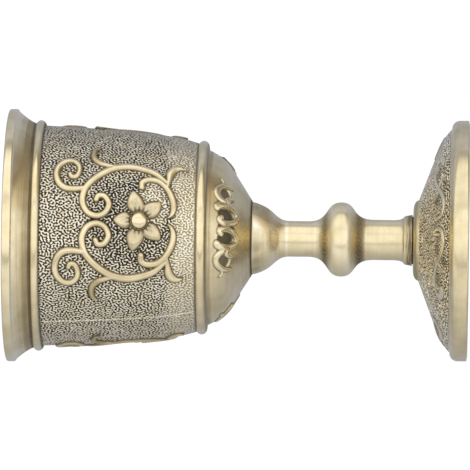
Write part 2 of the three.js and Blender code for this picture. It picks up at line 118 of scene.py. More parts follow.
FLARE_LEAN = 1.0

# Bowl, as in the solids
BOWL_SPIGOT_R = 3.0
BOWL_STUD_TOP = 3.1
BOWL_BASE_R = 6.55
CONE_R = 11.9
CONE_H = 3.4
BOTTOM_R = 15.25
BOTTOM_H = 7.6
BOTTOM_REACH = 2.1
LOWER_BEAD_R = 16.85
LOWER_BEAD_ROUND = 0.9
BELT_LOW_R = 16.4
BELT_TOP_R = 19.15
BELT_H = 26.65
BELT_SWELL_LOW = 1.35
BELT_SWELL_LOW_AT = 0.15
BELT_SWELL_TOP = 0.65
BELT_SWELL_TOP_AT = 0.4
UPPER_BEAD_R = 20.05
UPPER_BEAD_ROUND = 0.8
BEAD_ARC = (-78, 68)  # directions that a bead's round spans
THROAT_R = 19.5
MOUTH_FLARE_H = 3.1
MOUTH_BEND_R = 0.4
MOUTH_BEND_AT = 0.4
LIP_ROUND = 0.35
LIP_FROM = -45  # where the lip's round starts
BOWL_WALL = 1.6
BOWL_FLOOR_T = 4.4
FLOOR_R = 8.0
FLOOR_BEND = 1.0
THROAT_BEND = 0.3

COLLAR_TOP_Z = FOOT_H + GROOVE_H + COLLAR_H
LOWER_NECK_Z = COLLAR_TOP_Z + COLLAR_FALL_H
KNOP_Z = LOWER_NECK_Z + LOWER_NECK_H
CREST_Z = KNOP_Z + KNOP_LOWER_H
UPPER_NECK_Z = CREST_Z + KNOP_UPPER_H
FLARE_Z = UPPER_NECK_Z + UPPER_NECK_H
BOTTOM_TOP_Z = BOWL_Z + BOTTOM_H
LOWER_BEAD_Z = BOTTOM_TOP_Z + LOWER_BEAD_ROUND
BELT_Z = LOWER_BEAD_Z + LOWER_BEAD_ROUND
BELT_TOP_Z = BELT_Z + BELT_H
UPPER_BEAD_Z = BELT_TOP_Z + UPPER_BEAD_ROUND
THROAT_Z = UPPER_BEAD_Z + UPPER_BEAD_ROUND
LIP_Z = THROAT_Z + MOUTH_FLARE_H

# Ornament. Turns are in degrees from the camera's side towards +X.
MOTIFS = 3
PERIOD = 360 / MOTIFS
BOWL_TURN = 8.9
FOOT_TURN = 10.6
BELT_MEAN_R = 18.6
FRIEZE_MEAN_R = 13.3
DOME_MEAN_R = 16.0
MOTIF_Z = (BELT_Z + BELT_TOP_Z) / 2 - 0.2
RELIEF_H = 0.42
FRIEZE_H = 0.28
DOME_RELIEF_H = 0.15
STIPPLE_PITCH = (0.56, 0.47)  # up the belt, and round it
STIPPLE_H = 0.09
DOME_PITCH = 0.48
DOME_STIPPLE_H = 0.12
PARTING_W = 0.13
PARTING_H = 0.1

# Fasteners
HEAD_H = 2.4
HEAD_CROWN = 0.9
SCREW_R = 2.0
SCREW_PITCH = 0.7
STUD_PITCH = 0.5
THREAD_SHARE = 0.6  # depth of a thread, of its pitch
THREAD_RISE = 1.15  # with the slope, flattens its crests and roots
THREAD_SLOPE = 1.3
BOLT_CHAMFER = 0.4
RECESS_L = 4.4
RECESS_W = 0.9
RECESS_DEPTH = 1.3
RECESS_SLOPE = 0.14  # width of the recess's sloping wall
WASHER_BORE_R = 2.15
WASHER_EDGE = 0.1
SPRING_SLIT = 0.6
SPRING_SLIT_TILT = 20
SHARP_ANGLE = 40

# Fineness of the meshes
CAST_COLUMNS = 1080
STEM_COLUMNS = 192
BOLT_COLUMNS = 160
GRAIN_STEP = 0.11
FRIEZE_STEP = 0.15
PLAIN_STEP = 0.2
EDGE_STEP = 0.12
HIDDEN_STEP = 0.9
FLOOR_STEP = 1.0
BOLT_STEP = 0.06


# Curves of an outline: arrays of (radius, height)

def bezier(*points, steps=48):
    """A Bezier curve of any degree."""
    points = np.array(points, float)
    degree = len(points) - 1
    t = np.linspace(0, 1, steps + 1)[:, None]
    total = np.zeros((steps + 1, 2))
    for i, point in enumerate(points):
        total += math.comb(degree, i) * t**i * (1 - t) ** (degree - i) * point
    return total


def arc(radius, height, round_r, start, end, steps=32):
    angle = np.radians(np.linspace(start, end, steps + 1))
    return np.stack([radius + round_r * np.cos(angle), height + round_r * np.sin(angle)], 1)


def ogee(start, end, leave, arrive):
    """An S-curve that leaves and arrives along the axis, with pulls in shares of its height."""
    height = end[1] - start[1]
    return bezier(start, (start[0], start[1] + leave * height), (end[0], end[1] - arrive * height), end)


def run_of(points):
    """Length along a curve, at each of its points."""
    return np.concatenate([[0], np.cumsum(np.hypot(*np.diff(points, axis=0).T))])


def spaced(points, step):
    """The curve again, with points about one step apart."""
    points = np.array(points, float)
    run = run_of(points)
    at = np.linspace(0, run[-1], max(1, round(run[-1] / step)) + 1)
    return np.stack([np.interp(at, run, points[:, k]) for k in (0, 1)], 1)


def joined(*parts):
    """Outline parts end to end, without repeated points."""
    points = np.vstack([np.array(p, float).reshape(-1, 2) for p in parts])
    keep = np.concatenate([[True], np.hypot(*np.diff(points, axis=0).T) > 1e-6])
    return points[keep]


def outline_normals(points):
    along = np.gradient(points, axis=0)
    along /= np.maximum(np.hypot(along[:, 0], along[:, 1]), 1e-9)[:, None]
    return np.stack([along[:, 1], -along[:, 0]], 1)


def smooth(x, low, high, strength=1):
    """Growth from 0 to a strength, while x goes from low to high."""
    t = np.clip((x - low) / (high - low), 0, 1)
    return strength * (t * t * (3 - 2 * t))


def bump(x, centre, width, strength=1):
    return strength * np.exp(-(((x - centre) / width) ** 2))


# Meshes

def mesh_object(name, points, faces, material, uv, tints):
    """A smooth mesh in metres from points in millimetres, riding on the goblet's one body."""
    mesh = bpy.data.meshes.new(name)
    mesh.from_pydata((points * MM).tolist(), [], faces)
    mesh.polygons.foreach_set("use_smooth", np.ones(len(mesh.polygons), bool))
    for tint, values in tints.items():
        layer = mesh.attributes.new(tint, "FLOAT", "POINT")
        layer.data.foreach_set("value", np.clip(values, 0, 1).astype(np.float32))
    layer = mesh.uv_layers.new(name="OFBake")
    layer.data.foreach_set("uv", np.asarray(uv, np.float32).ravel())
    mesh.materials.append(material)
    mesh.update()
    made = bpy.data.objects.new(name, mesh)
    bpy.context.scene.collection.objects.link(made)
    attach(made, "root")
    return made


def column_angles(columns):
    """Angles of a turned mesh's columns, in degrees from the camera's side towards +X."""
    return np.arange(columns) * 360 / columns


def table(*columns):
    """Numbers and arrays side by side, as the last axis of one array."""
    return np.stack(np.broadcast_arrays(*columns), -1)


def turned(name, outline, columns, material, raised=0, **tints):
    """A turned solid. The outline starts and ends on the axis, or closes on itself where it doesn't.
    raised and the tints are numbers, or arrays of rows by columns."""
    rows = len(outline)
    closes = outline[0, 0] > 1e-6
    shape = (rows, columns)
    normal = outline_normals(outline)
    radius = outline[:, :1] + normal[:, :1] * raised
    height = outline[:, 1:] + normal[:, 1:] * raised
    turn = np.radians(column_angles(columns))
    grid = table(radius * np.sin(turn), -radius * np.cos(turn), height)
    tints = {tint: np.broadcast_to(values, shape) for tint, values in tints.items()}
    ring = np.arange(columns)
    after = (ring + 1) % columns
    run = run_of(outline)
    levels = run / run[-1]
    u0 = ring / columns
    u1 = (ring + 1) / columns
    if closes:
        # a ring: its last row is its first one again
        body = np.arange((rows - 1) * columns).reshape(rows - 1, columns)
        body = np.vstack([body, body[:1]])
        points = grid[:-1].reshape(-1, 3)
        tints = {tint: values[:-1].ravel() for tint, values in tints.items()}
    else:
        body = np.arange((rows - 2) * columns).reshape(rows - 2, columns)
        poles = np.array([[0, 0, height[0, 0]], [0, 0, height[-1, 0]]])
        points = np.vstack([grid[1:-1].reshape(-1, 3), poles])
        tints = {tint: np.concatenate([values[1:-1].ravel(), values[0, :1], values[-1, :1]])
                 for tint, values in tints.items()}
        levels = levels[1:-1]
    low, high = body[:-1], body[1:]
    faces = table(low, low[:, after], high[:, after], high).reshape(-1, 4).tolist()
    v0, v1 = levels[:-1, None], levels[1:, None]
    uv = table(u0, v0, u1, v0, u1, v1, u0, v1).reshape(-1, 2)
    if not closes:
        faces += table(len(points) - 2, body[0][after], body[0]).tolist()
        faces += table(len(points) - 1, body[-1], body[-1][after]).tolist()
        mid = (u0 + u1) / 2
        low_uv = table(mid, 0, u1, levels[0], u0, levels[0]).reshape(-1, 2)
        high_uv = table(mid, 1, u0, levels[-1], u1, levels[-1]).reshape(-1, 2)
        uv = np.vstack([uv, low_uv, high_uv])
    return mesh_object(name, points, faces, material, uv, tints)


# Ornament: strokes on an unrolled surface, in millimetres

FAR = 9.0
STROKE_REACH = 2.0  # no point farther than this from a stroke is looked at


def spline(points, per_span=14):
    """A smooth curve through points that carry any count of numbers each."""
    p = np.array(points, float)
    p = np.vstack([2 * p[0] - p[1], p, 2 * p[-1] - p[-2]])
    t = np.linspace(0, 1, per_span, endpoint=False)[:, None]
    spans = []
    for a, b, c, d in zip(p[:-3], p[1:-2], p[2:-1], p[3:]):
        spans.append(0.5 * (2 * b + (c - a) * t + (2 * a - 5 * b + 4 * c - d) * t**2
                            + (3 * b - a - 3 * c + d) * t**3))
    return np.vstack(spans + [p[-2:-1]])


def stroke(x, y, points):
    """A stroke's reach at each place: 0 on its middle line, 1 at its edge; and the gap to its edge.
    Each point lists x, y and the stroke's width."""
    path = spline(points)
    low, high = path[:, :2].min(0) - STROKE_REACH, path[:, :2].max(0) + STROKE_REACH
    near = (x > low[0]) & (x < high[0]) & (y > low[1]) & (y < high[1])
    px, py = x[near], y[near]
    shares, gaps = np.full((2, *x.shape), FAR)
    share, gap = shares[near], gaps[near]
    for cx, cy, width in path:
        away = np.hypot(px - cx, py - cy)
        share = np.minimum(share, away / (width / 2))
        gap = np.minimum(gap, away - width / 2)
    shares[near] = share
    gaps[near] = gap
    return shares, gaps


def ridges(x, y, strokes, height):
    """Height of all strokes together, and the gap to the nearest one's edge."""
    raised = np.zeros_like(x)
    gap = np.full_like(x, FAR)
    for points in strokes:
        share, away = stroke(x, y, points)
        raised = np.maximum(raised, height * np.sqrt(np.clip(1 - share**2, 0, 1)))
        gap = np.minimum(gap, away)
    return raised, gap


# Half of the belt's motif: distance from its mirror line, height above its zero, width
BELT_STROKES = [
    # stem that rises, arches over and rolls up beside the mirror line
    [(7.5, -8.2, 0.65), (9.35, -6.0, 1.3), (10.35, -2.6, 1.45), (10.1, 0.15, 1.45), (9.15, 2.15, 1.35),
     (7.45, 4.25, 1.25), (5.55, 5.7, 1.2), (3.25, 6.15, 1.2), (1.35, 5.3, 1.15), (0.65, 3.75, 1.15),
     (1.25, 2.25, 1.1), (2.8, 1.6, 1.1), (4.1, 2.3, 1.1), (4.25, 3.4, 1.05), (3.5, 3.8, 1.0)],
    # volute that springs outwards from the top of the stem
    [(5.55, 6.0, 1.0), (5.35, 7.7, 1.2), (5.5, 9.15, 1.25), (6.4, 10.25, 1.25), (8.1, 10.75, 1.2),
     (9.7, 10.4, 1.15), (10.85, 9.25, 1.1), (10.95, 7.9, 1.05), (10.05, 6.95, 1.05), (8.8, 6.85, 1.0),
     (7.75, 7.35, 1.0), (7.65, 8.1, 1.0), (8.2, 8.4, 0.9)],
    # small hook at the side
    [(10.05, 0.6, 0.6), (10.4, 2.2, 1.0), (10.85, 3.35, 1.2), (11.7, 4.3, 1.15), (12.9, 4.5, 1.05),
     (13.95, 4.2, 0.8), (14.45, 3.4, 0.25)],
    # lower scroll, from its blunt inner end down to the mirror line
    [(6.15, -3.95, 1.1), (7.3, -4.1, 1.2), (7.85, -5.2, 1.25), (7.65, -6.7, 1.2), (6.8, -7.85, 1.15),
     (5.5, -8.75, 1.2), (3.8, -9.35, 1.2), (2.25, -9.45, 1.05), (1.15, -9.1, 0.75), (0.6, -8.5, 0.3)],
    # lower leaf that turns outwards
    [(6.25, -8.3, 0.5), (8.2, -8.55, 1.0), (9.65, -8.75, 1.45), (10.65, -9.3, 1.5), (11.05, -10.2, 1.0),
     (10.8, -11.0, 0.25)],
]
FLOWER_RISE = -3.6
BOSS_R = 1.42
BOSS_H = 0.9
BOSS_WIDE = 1.08  # width of the boss along the belt, of its height
# Petals on and beside the mirror line: direction in degrees from the belt's run, and length
PETALS = [(90, 4.4), (12, 5.5), (-47, 5.0)]
PETAL_W = 1.5
PETAL_SHAPE = [(0.2, 0.4), (0.32, 0.74), (0.45, 0.97), (0.55, 1.0), (0.66, 0.93), (0.78, 0.74),
               (0.88, 0.52), (0.95, 0.32), (1.0, 0.0)]
PETAL_ROUND = 2.5
PETAL_RISE = 1.15  # height of a petal, of a stroke's
PETAL_TIP = (0.7, 1.0, 0.4)  # where along a petal it falls towards its tip, and by how much
PETAL_ROOT = (0.5, 0.3, 0.3)
CREASE_W = 0.15
CREASE_DEPTH = 0.25
CREASE_END = (0.8, 0.5)
ROOT_LINES = 18  # dark lines round the boss, on the roots of the petals
ROOT_LINE_EDGE = (-0.2, 0.7)
ROOT_LINE_DEPTH = 0.25
ROOT_LINE_GRIME = 0.4
# Distances from the flower's middle, in radii of the boss: its rim, its dark moat and the petals' roots
BOSS_RIM = 0.92
MOAT_END = (1.22, 1.08)
MOAT_GRIME = 0.85
PETAL_START = (1.0, 1.35)
ROOT_LINE_END = (1.85, 1.3)
ROOT_GRIME = (3.2, 1.2, 0.24)
PETAL_GRIME = 0.06

# Half of the frieze on the bottom: distance from the mirror line, run up from the seat, width
FRIEZE_STROKES = [
    # loop, from its inner curl round to its outer arm
    [(1.4, 8.65, 1.03), (0.95, 9.05, 1.2), (0.6, 8.5, 1.16), (0.53, 7.35, 1.16), (0.85, 5.9, 1.2),
     (1.67, 4.75, 1.24), (2.74, 4.38, 1.28), (3.53, 4.94, 1.33), (3.87, 6.15, 1.33), (3.85, 7.35, 1.33),
     (3.5, 8.82, 1.38), (3.05, 9.6, 1.38)],
    # leaf on the loop's outside
    [(3.76, 6.15, 0.84), (4.41, 6.95, 1.08), (4.92, 7.27, 1.24), (5.48, 6.61, 1.08), (5.8, 5.87, 0.49)],
    # arch
    [(4.39, 8.01, 0.74), (4.62, 8.82, 1.08), (5.01, 9.38, 1.28), (5.55, 9.69, 1.33), (6.43, 9.44, 1.24),
     (7.36, 8.56, 1.04), (8.03, 7.19, 0.79), (8.26, 6.15, 0.4)],
    # thin tail
    [(6.73, 9.2, 0.45), (7.7, 8.55, 0.65), (8.35, 8.55, 0.54), (8.7, 9.1, 0.29)],
]
# Hollows between the strokes: distance, run, half width, half height, depth, grime
FRIEZE_HOLLOWS = [
    (2.2, 7.2, 1.35, 2.4, 0.4, 0.82), (0.0, 7.0, 0.5, 2.6, 0.2, 0.85), (6.3, 7.8, 1.35, 1.6, 0.3, 0.72),
    (4.2, 8.4, 0.5, 1.3, 0.15, 0.75)]

# Half of the dome's motif: distance from the mirror line, run up from the flange, width
DOME_STROKES = [
    [(1.93, 3.77, 0.6), (1.68, 5.85, 0.75), (0.98, 5.01, 0.8), (1.09, 3.3, 0.8), (1.95, 2.45, 0.8),
     (3.3, 2.26, 0.85), (5.03, 2.97, 0.9), (6.98, 4.44, 0.9), (8.94, 5.43, 0.9), (11.03, 5.71, 0.9),
     (12.62, 4.59, 0.95), (12.51, 2.97, 1.2), (11.45, 2.45, 1.35), (10.7, 2.55, 0.6)],
    [(6.7, 4.03, 0.5), (7.62, 2.86, 0.85), (7.71, 1.54, 0.4)],
]
# Dark hollows beside them: distance, run, half width, half height, grime and painted shade
DOME_HOLLOWS = [
    (1.68, 4.4, 0.7, 1.0, 0.9), (4.6, 4.8, 1.2, 1.3, 0.55), (9.9, 4.0, 1.5, 1.2, 0.5),
    (6.2, 1.9, 0.8, 0.9, 0.5)]


def flower(x, y):
    """Height of the five-petalled flower, the gap to its edge and the dark of its creases."""
    y = y - FLOWER_RISE
    height = np.zeros_like(x)
    gap = np.full_like(x, FAR)
    stations = np.array(PETAL_SHAPE)
    for direction, length in PETALS:
        turn = math.radians(direction)
        along = (x * math.cos(turn) + y * math.sin(turn)) / length
        across = np.abs(-x * math.sin(turn) + y * math.cos(turn))
        half = PETAL_W * np.interp(along, stations[:, 0], stations[:, 1], left=-FAR, right=-FAR)
        edge = across / np.maximum(half, 1e-3)
        rise = PETAL_RISE - smooth(along, *PETAL_TIP) - smooth(along, *PETAL_ROOT)
        back = RELIEF_H * rise * np.sqrt(np.clip(1 - edge**PETAL_ROUND, 0, 1))
        crease = bump(across, 0, CREASE_W) * smooth(along, *CREASE_END)
        petal = np.where(half > 0, back * (1 - CREASE_DEPTH * crease), 0)
        height = np.maximum(height, petal)
        gap = np.minimum(gap, across - half)
    out = np.hypot(x / BOSS_WIDE, y) / BOSS_R
    lines = smooth(np.cos(ROOT_LINES * np.arctan2(y, x)), *ROOT_LINE_EDGE) * smooth(out, *ROOT_LINE_END)
    moat = smooth(out, BOSS_RIM, 1.0) * smooth(out, *MOAT_END)
    patch = PETAL_GRIME + smooth(out, *ROOT_GRIME)
    dark = np.maximum(patch + ROOT_LINE_GRIME * lines, MOAT_GRIME * moat)
    dark = np.where(out < BOSS_RIM, 0, dark)
    height = height * smooth(out, *PETAL_START) * (1 - ROOT_LINE_DEPTH * lines)
    boss = BOSS_H * np.sqrt(np.clip(1 - out**2, 0, 1))
    return np.maximum(height, boss), np.minimum(gap, (out - 1) * BOSS_R), dark


# Casting grain: how much its pitch varies, its contrast, its finest detail, and where it is cut off
GRAIN_SPREAD = 0.38
GRAIN_CONTRAST = 2.2
GRAIN_FINEST = 2.6
GRAIN_CLIP = 1.4
STREAK_WAVES = 9  # most waves of a turning mark, round a piece


def labyrinth(rows, columns, row_pitch, column_pitch, seed):
    """Blotchy casting grain between -1 and 1, repeating in both directions. The pitches are in samples."""
    draw = np.random.default_rng(seed)
    field = draw.standard_normal((rows, columns))
    across = np.fft.rfftfreq(columns) * column_pitch
    down = np.fft.fftfreq(rows)[:, None] * row_pitch
    away = np.hypot(across, down)
    near_pitch = np.exp(-(((away - 1) / GRAIN_SPREAD) ** 2))
    field = np.fft.irfft2(np.fft.rfft2(field) * near_pitch, s=field.shape)
    field = np.tanh(GRAIN_CONTRAST * field / field.std())
    coarse = np.exp(-((away / GRAIN_FINEST) ** 4))
    field = np.fft.irfft2(np.fft.rfft2(field) * coarse, s=field.shape)
    return np.clip(field / (GRAIN_CLIP * field.std()), -1, 1)


def streaks(rows, columns, seed):
    """Long thin marks round a turned piece, with a spread of 1."""
    draw = np.random.default_rng(seed)
    field = draw.standard_normal((rows, columns))
    across = np.fft.rfftfreq(columns) * columns
    field = np.fft.irfft2(np.fft.rfft2(field) * np.exp(-((across / STREAK_WAVES) ** 2)), s=field.shape)
    return field / field.std()


def from_line(columns, turn):
    """Each column's angle from the nearest repeat of a turn."""
    angle = column_angles(columns) - turn
    return (angle + PERIOD / 2) % PERIOD - PERIOD / 2


def parting_line():
    """Two thin opposite ridges where the mould's halves met, one of them midway between motifs."""
    angle = (column_angles(CAST_COLUMNS) - BOWL_TURN + PERIOD / 2 + 90) % 180 - 90
    return bump(np.radians(angle) * BELT_MEAN_R, 0, PARTING_W)


def motif_grid(turn, mean_r, level):
    """Places of one motif's columns, unrolled: distance from its mirror line, level, signed distance."""
    angle = from_line(CAST_COLUMNS, turn)[:CAST_COLUMNS // MOTIFS]
    side, y = np.meshgrid(np.radians(angle) * mean_r, level)
    return np.abs(side), y, side


def all_round(part):
    return np.tile(part, (1, MOTIFS))


HOLLOW_EDGE = (0.7, 1.0)
STROKE_EDGE = 0.06
LINE_START = 0.02  # gap at which the dark line beside a stroke starts to fade
LINE_ON_FLANK = 0.1  # how far that line climbs a stroke


def hollow(x, y, place, gap):
    """How far each place lies in a hollow, 1 in its middle, off the strokes."""
    cx, cy, half_x, half_y = place
    out = np.hypot((x - cx) / half_x, (y - cy) / half_y)
    return (1 - smooth(out, *HOLLOW_EDGE)) * smooth(gap, -STROKE_EDGE, STROKE_EDGE)


def beside(gap, reach, grime):
    """Dark line beside the strokes, on the ground and the lowest part of their flanks: grime, with painted
    shade where the strokes meet the ground.
    """
    return grime * ((1 - smooth(gap, LINE_START, reach)) * smooth(gap, -LINE_ON_FLANK, 0))


# Finish of the castings
BRASS = 0.2  # patina of clean brass; less is worn bright, more is brown
GRIMY_GRAIN = (0.3, -0.18)  # heights of the grain between which grime fills it
BRIGHT_GRAIN = (0.75, 0.05)  # and between which its tops are bare metal
BARE_GAP = 0.14  # gap from a stroke at which the grain is whole
RAISED = 0.02  # least height of raised work

# Belt. Its motif's scrolls enclose an oval of darker ground, and on one side of the flower the ground is
# paler, as it is towards the lower bead, where it is a painted highlight. Ovals list their middle and half
# sizes.
ENCLOSED = (0, -2.0, 9.8, 8.5)
ENCLOSED_DARK = 0.45
ENCLOSED_GRIME = 0.06
ENCLOSED_DEPTH = 0.3
PALE_OVAL = (3.2, -6.0, 6.2, 3.6)
PALE_OVAL_SHARE = 0.6
HIGHLIGHT_LEVELS = (-7.0, -10.0)
PALE_GRIME = 0.08  # grime and depth that pale ground lacks
PALE_DEPTH = 0.35
NEAR_GRIME = (1.2, 0.2, 0.15)  # gaps from a stroke between which the ground darkens, and by how much
HOOKS = (12.8, 3.4, 2.6, 2.4)  # oval round the hook at the motif's side, browned as painted shade
HOOK_SHADE = 0.16
SHADED_SIDE = (100, 80, 0.2)  # painted shade: the ground is darker on one side: at which angle, how widely, how much
BELT_LINE = (0.25, 0.75)  # reach and darkness of the dark line beside the strokes, grime with painted shade
FLOWER_LINE = (0.25, 0.4)
# painted shade down the flanks of the belt's strokes
BELT_FLANK_SHADE = 0.3
BELT_BORDER = 0.5  # the grain fades out this near the beads
BELT_SPARE = 12  # rows that keep the grain's ends from matching

# Frieze
FRIEZE_LINE = (0.24, 0.7)
FRIEZE_SHADING = (0.16, 0.05)  # painted shade down the flanks, and painted highlight on the crests
FRIEZE_EDGE = (0.03, 0.1)

# Bands round the bowl and the stem: height, width, and strength where it isn't 1
CUP_STAINS = [
    (BOWL_Z + 0.8, 1.6, 0.09), (BOTTOM_TOP_Z - 0.5, 0.5, 0.2), (BOTTOM_TOP_Z - 1.6, 1.6, 0.06),
    (THROAT_Z + 0.8, 0.8, 0.3), (THROAT_Z + 1.9, 0.9, 0.15)]
CUP_CREASES = [
    (BOWL_Z, 0.25, 0.9), (BOTTOM_TOP_Z, 0.25, 0.5), (BELT_Z, 0.2, 0.7), (BELT_TOP_Z, 0.2, 0.75),
    (THROAT_Z + 0.1, 0.28, 0.8)]
CUP_WORN = [(LIP_Z - 0.5, 0.9, 0.12)]
INSIDE_STAIN = 0.1
CUP_MARKS = 0.006  # turning marks on clean metal, and what a stain adds to them
CUP_STAIN_MARKS = 0.12
STEM_STAINS = [(FOOT_H + 0.6, 0.8, 0.2), (BOWL_Z - 3.5, 1.9, 0.06)]
STEM_CREASES = [
    (FOOT_H, 0.2, 0.9), (FOOT_H + 0.55, 0.55, 0.4), (BOWL_Z, 0.18, 0.85), (BOWL_Z - 3.0, 1.4, 0.04)]
# painted highlights: narrow bright lines at the stem's creases, and broader ones on the knop and flare
STEM_HIGHLIGHTS = [
    (LOWER_NECK_Z - 2.1, 0.15, 0.1), (KNOP_Z + 1.4, 0.15, 0.1), (UPPER_NECK_Z - 1.2, 0.15, 0.1),
    (FLARE_Z + 0.6, 0.2, 0.18), (CREST_Z - 1.8, 1.0, 0.2), (CREST_Z + 2.2, 0.9, 0.18), (CREST_Z, 2.0, 0.05),
    (BOWL_Z - 3.6, 0.9, 0.16)]
STEM_STAIN_MARKS = 0.4
STEM_CREASE_MARKS = 0.2
STEM_TONE = 0.015  # patina that the stem has everywhere
STEM_SATIN = 0.09  # roughness that its finish adds
STEM_FLANKS = [(CREST_Z - 1.8, 1.0, 0.3), (CREST_Z + 1.8, 1.0, 0.3), (BOWL_Z - 3.0, 2.0, 0.15)]  # rougher
# Fillets beside the knop: brown, speckled and grimy, and darker towards -X as painted shade. Sides are
# sines of the angle from the camera's side, and pitches count rows and columns.
FILLETS = [(CREST_Z - 3.2, 0.9), (CREST_Z + 2.75, 0.7)]
FILLET_BROWN = 0.3
FILLET_GRIME = 0.2
FILLET_SIDE_SHADE = (0, 0.55, 0.3)
SPECKLE_PITCH = (3, 5)
SPECKLE_SHARE = 0.2
# The flare is darker towards +X, as painted shade. Its seat has painted highlights in three places, with
# blotches of painted shade between them.
FLARE_SHADE = [(BOWL_Z - 2.2, 2.2, 0.36)]
FLARE_SIDE = (0.4, 0.75)
SEAT = [(BOWL_Z - 0.8, 1.1)]
SEAT_SHADE = 0.38
SEAT_HIGHLIGHT_AT = 24  # degrees
SEAT_HIGHLIGHT_W = 18
SEAT_HIGHLIGHT = 0.2
BLOTCH_PITCH = (60, 11)
BLOTCH_SHARE = 0.22

# Foot. Its bands list a radius instead of a height.
FOOT_STAINS = [(DISC_BEND_R, 0.9, 0.2), (FOOT_R, 0.6, 0.04)]
FOOT_CREASES = [(DOME_R, 0.2, 0.3), (DISC_R, 0.8, 0.2)]
DOME_SIDE_LIGHT = (15, 60, 0.16)  # painted light: the ground is paler away from the camera's side: between which angles, how much
DOME_LINE = (0.3, 0.7)
# painted shade down the flanks of the dome's strokes, and painted highlight on their crests
DOME_SHADING = (0.1, 0.08)
DOME_GRAIN_GRIME = 0.92
DOME_LOW_FADE = (0.1, 0.6)  # the grain fades out this near the flange and the disc
DOME_TOP_FADE = (0, 0.3)
PLAN_STEP = 0.06
PLAN_SPARE = 40


def stroke_patina(relief, height, flank_shade, crest_highlight=0):
    """Clean metal on the crests of raised work, brightened further as a painted highlight, and browner down
    its flanks as painted shade.
    """
    return BRASS + flank_shade * (1 - np.clip(relief / height, 0, 1) ** 2) - crest_highlight


def belt_surface(level):
    """Height, patina with painted shading, and grime with painted shade, of the stippled belt at heights
    above the motif's zero.
    """
    x, y, side = motif_grid(BOWL_TURN, BELT_MEAN_R, level)
    relief, gap = ridges(x, y, BELT_STROKES, RELIEF_H)
    petals, petal_gap, creases = flower(x, y)
    gap = np.minimum(gap, petal_gap)
    patch = hollow(side, y, PALE_OVAL, FAR)
    enclosed = hollow(x, y, ENCLOSED, gap) * (1 - patch)
    # painted shade browning the hooks at the motif's sides
    hook_shade = all_round(HOOK_SHADE * hollow(x, y, HOOKS, FAR))
    # paler ground with less grime: a painted highlight towards the lower bead, and an oval beside the
    # flower
    pale = np.maximum(smooth(y, *HIGHLIGHT_LEVELS), PALE_OVAL_SHARE * patch)
    on_flower = all_round(petals > np.maximum(relief, RAISED))
    creases = all_round(creases)
    relief = all_round(np.maximum(relief, petals))
    ground = all_round(ENCLOSED_GRIME * enclosed + smooth(gap, *NEAR_GRIME) - PALE_GRIME * pale)
    depth = all_round(1 - PALE_DEPTH * pale + ENCLOSED_DEPTH * enclosed)
    enclosed = all_round(enclosed)
    gap = all_round(gap)
    column_step = 2 * math.pi * BELT_MEAN_R / CAST_COLUMNS
    grain = labyrinth(len(level) + BELT_SPARE, CAST_COLUMNS, STIPPLE_PITCH[0] / GRAIN_STEP,
                      STIPPLE_PITCH[1] / column_step, seed=11)[:len(level)]
    bare = smooth(gap, 0, BARE_GAP)
    border = smooth(np.minimum(level - level[0], level[-1] - level), 0, BELT_BORDER)[:, None]
    line = parting_line() * bare
    raised = STIPPLE_H * (grain - 1) * depth * bare * border + relief + PARTING_H * line * border
    # painted shade darkening the belt's ground on one side
    darker = bump(column_angles(CAST_COLUMNS), *SHADED_SIDE)
    grime = smooth(grain - ENCLOSED_DARK * enclosed, *GRIMY_GRAIN) * depth
    grime = (np.maximum(grime, darker) + ground) * bare
    grime = np.maximum(grime, beside(gap, *BELT_LINE))
    grime = np.where(on_flower, np.maximum(creases, beside(gap, *FLOWER_LINE)), grime)
    strokes = stroke_patina(relief, RELIEF_H, BELT_FLANK_SHADE) + hook_shade
    patina = np.where(bare > 0.5, BRASS * smooth(grain, *BRIGHT_GRAIN), strokes)
    return raised, patina * (1 - line), grime * (1 - line)


def frieze_surface(rows):
    """Height, patina with painted shading, share of raised work, and grime with painted shade, of the small
    scrolls under the lower bead.
    """
    x, y, _ = motif_grid(BOWL_TURN, FRIEZE_MEAN_R, run_of(rows))
    relief, gap = ridges(x, y, FRIEZE_STROKES, FRIEZE_H)
    raised = relief.copy()
    grime = beside(gap, *FRIEZE_LINE)
    for *place, depth, dark in FRIEZE_HOLLOWS:
        inside = hollow(x, y, place, gap)
        raised = np.where(relief > RAISED, raised, raised - depth * inside)
        grime = np.maximum(grime, dark * inside)
    patina = stroke_patina(relief, FRIEZE_H, *FRIEZE_SHADING)
    return map(all_round, (raised, patina, smooth(relief, *FRIEZE_EDGE), grime))


# Outlines of the castings

def belt_outline(wall):
    low = (BELT_LOW_R - wall, BELT_Z)
    top = (BELT_TOP_R - wall, BELT_TOP_Z)
    return bezier(low, (low[0] + BELT_SWELL_LOW, BELT_Z + BELT_SWELL_LOW_AT * BELT_H),
                  (top[0] - BELT_SWELL_TOP, BELT_Z + BELT_SWELL_TOP_AT * BELT_H), top)


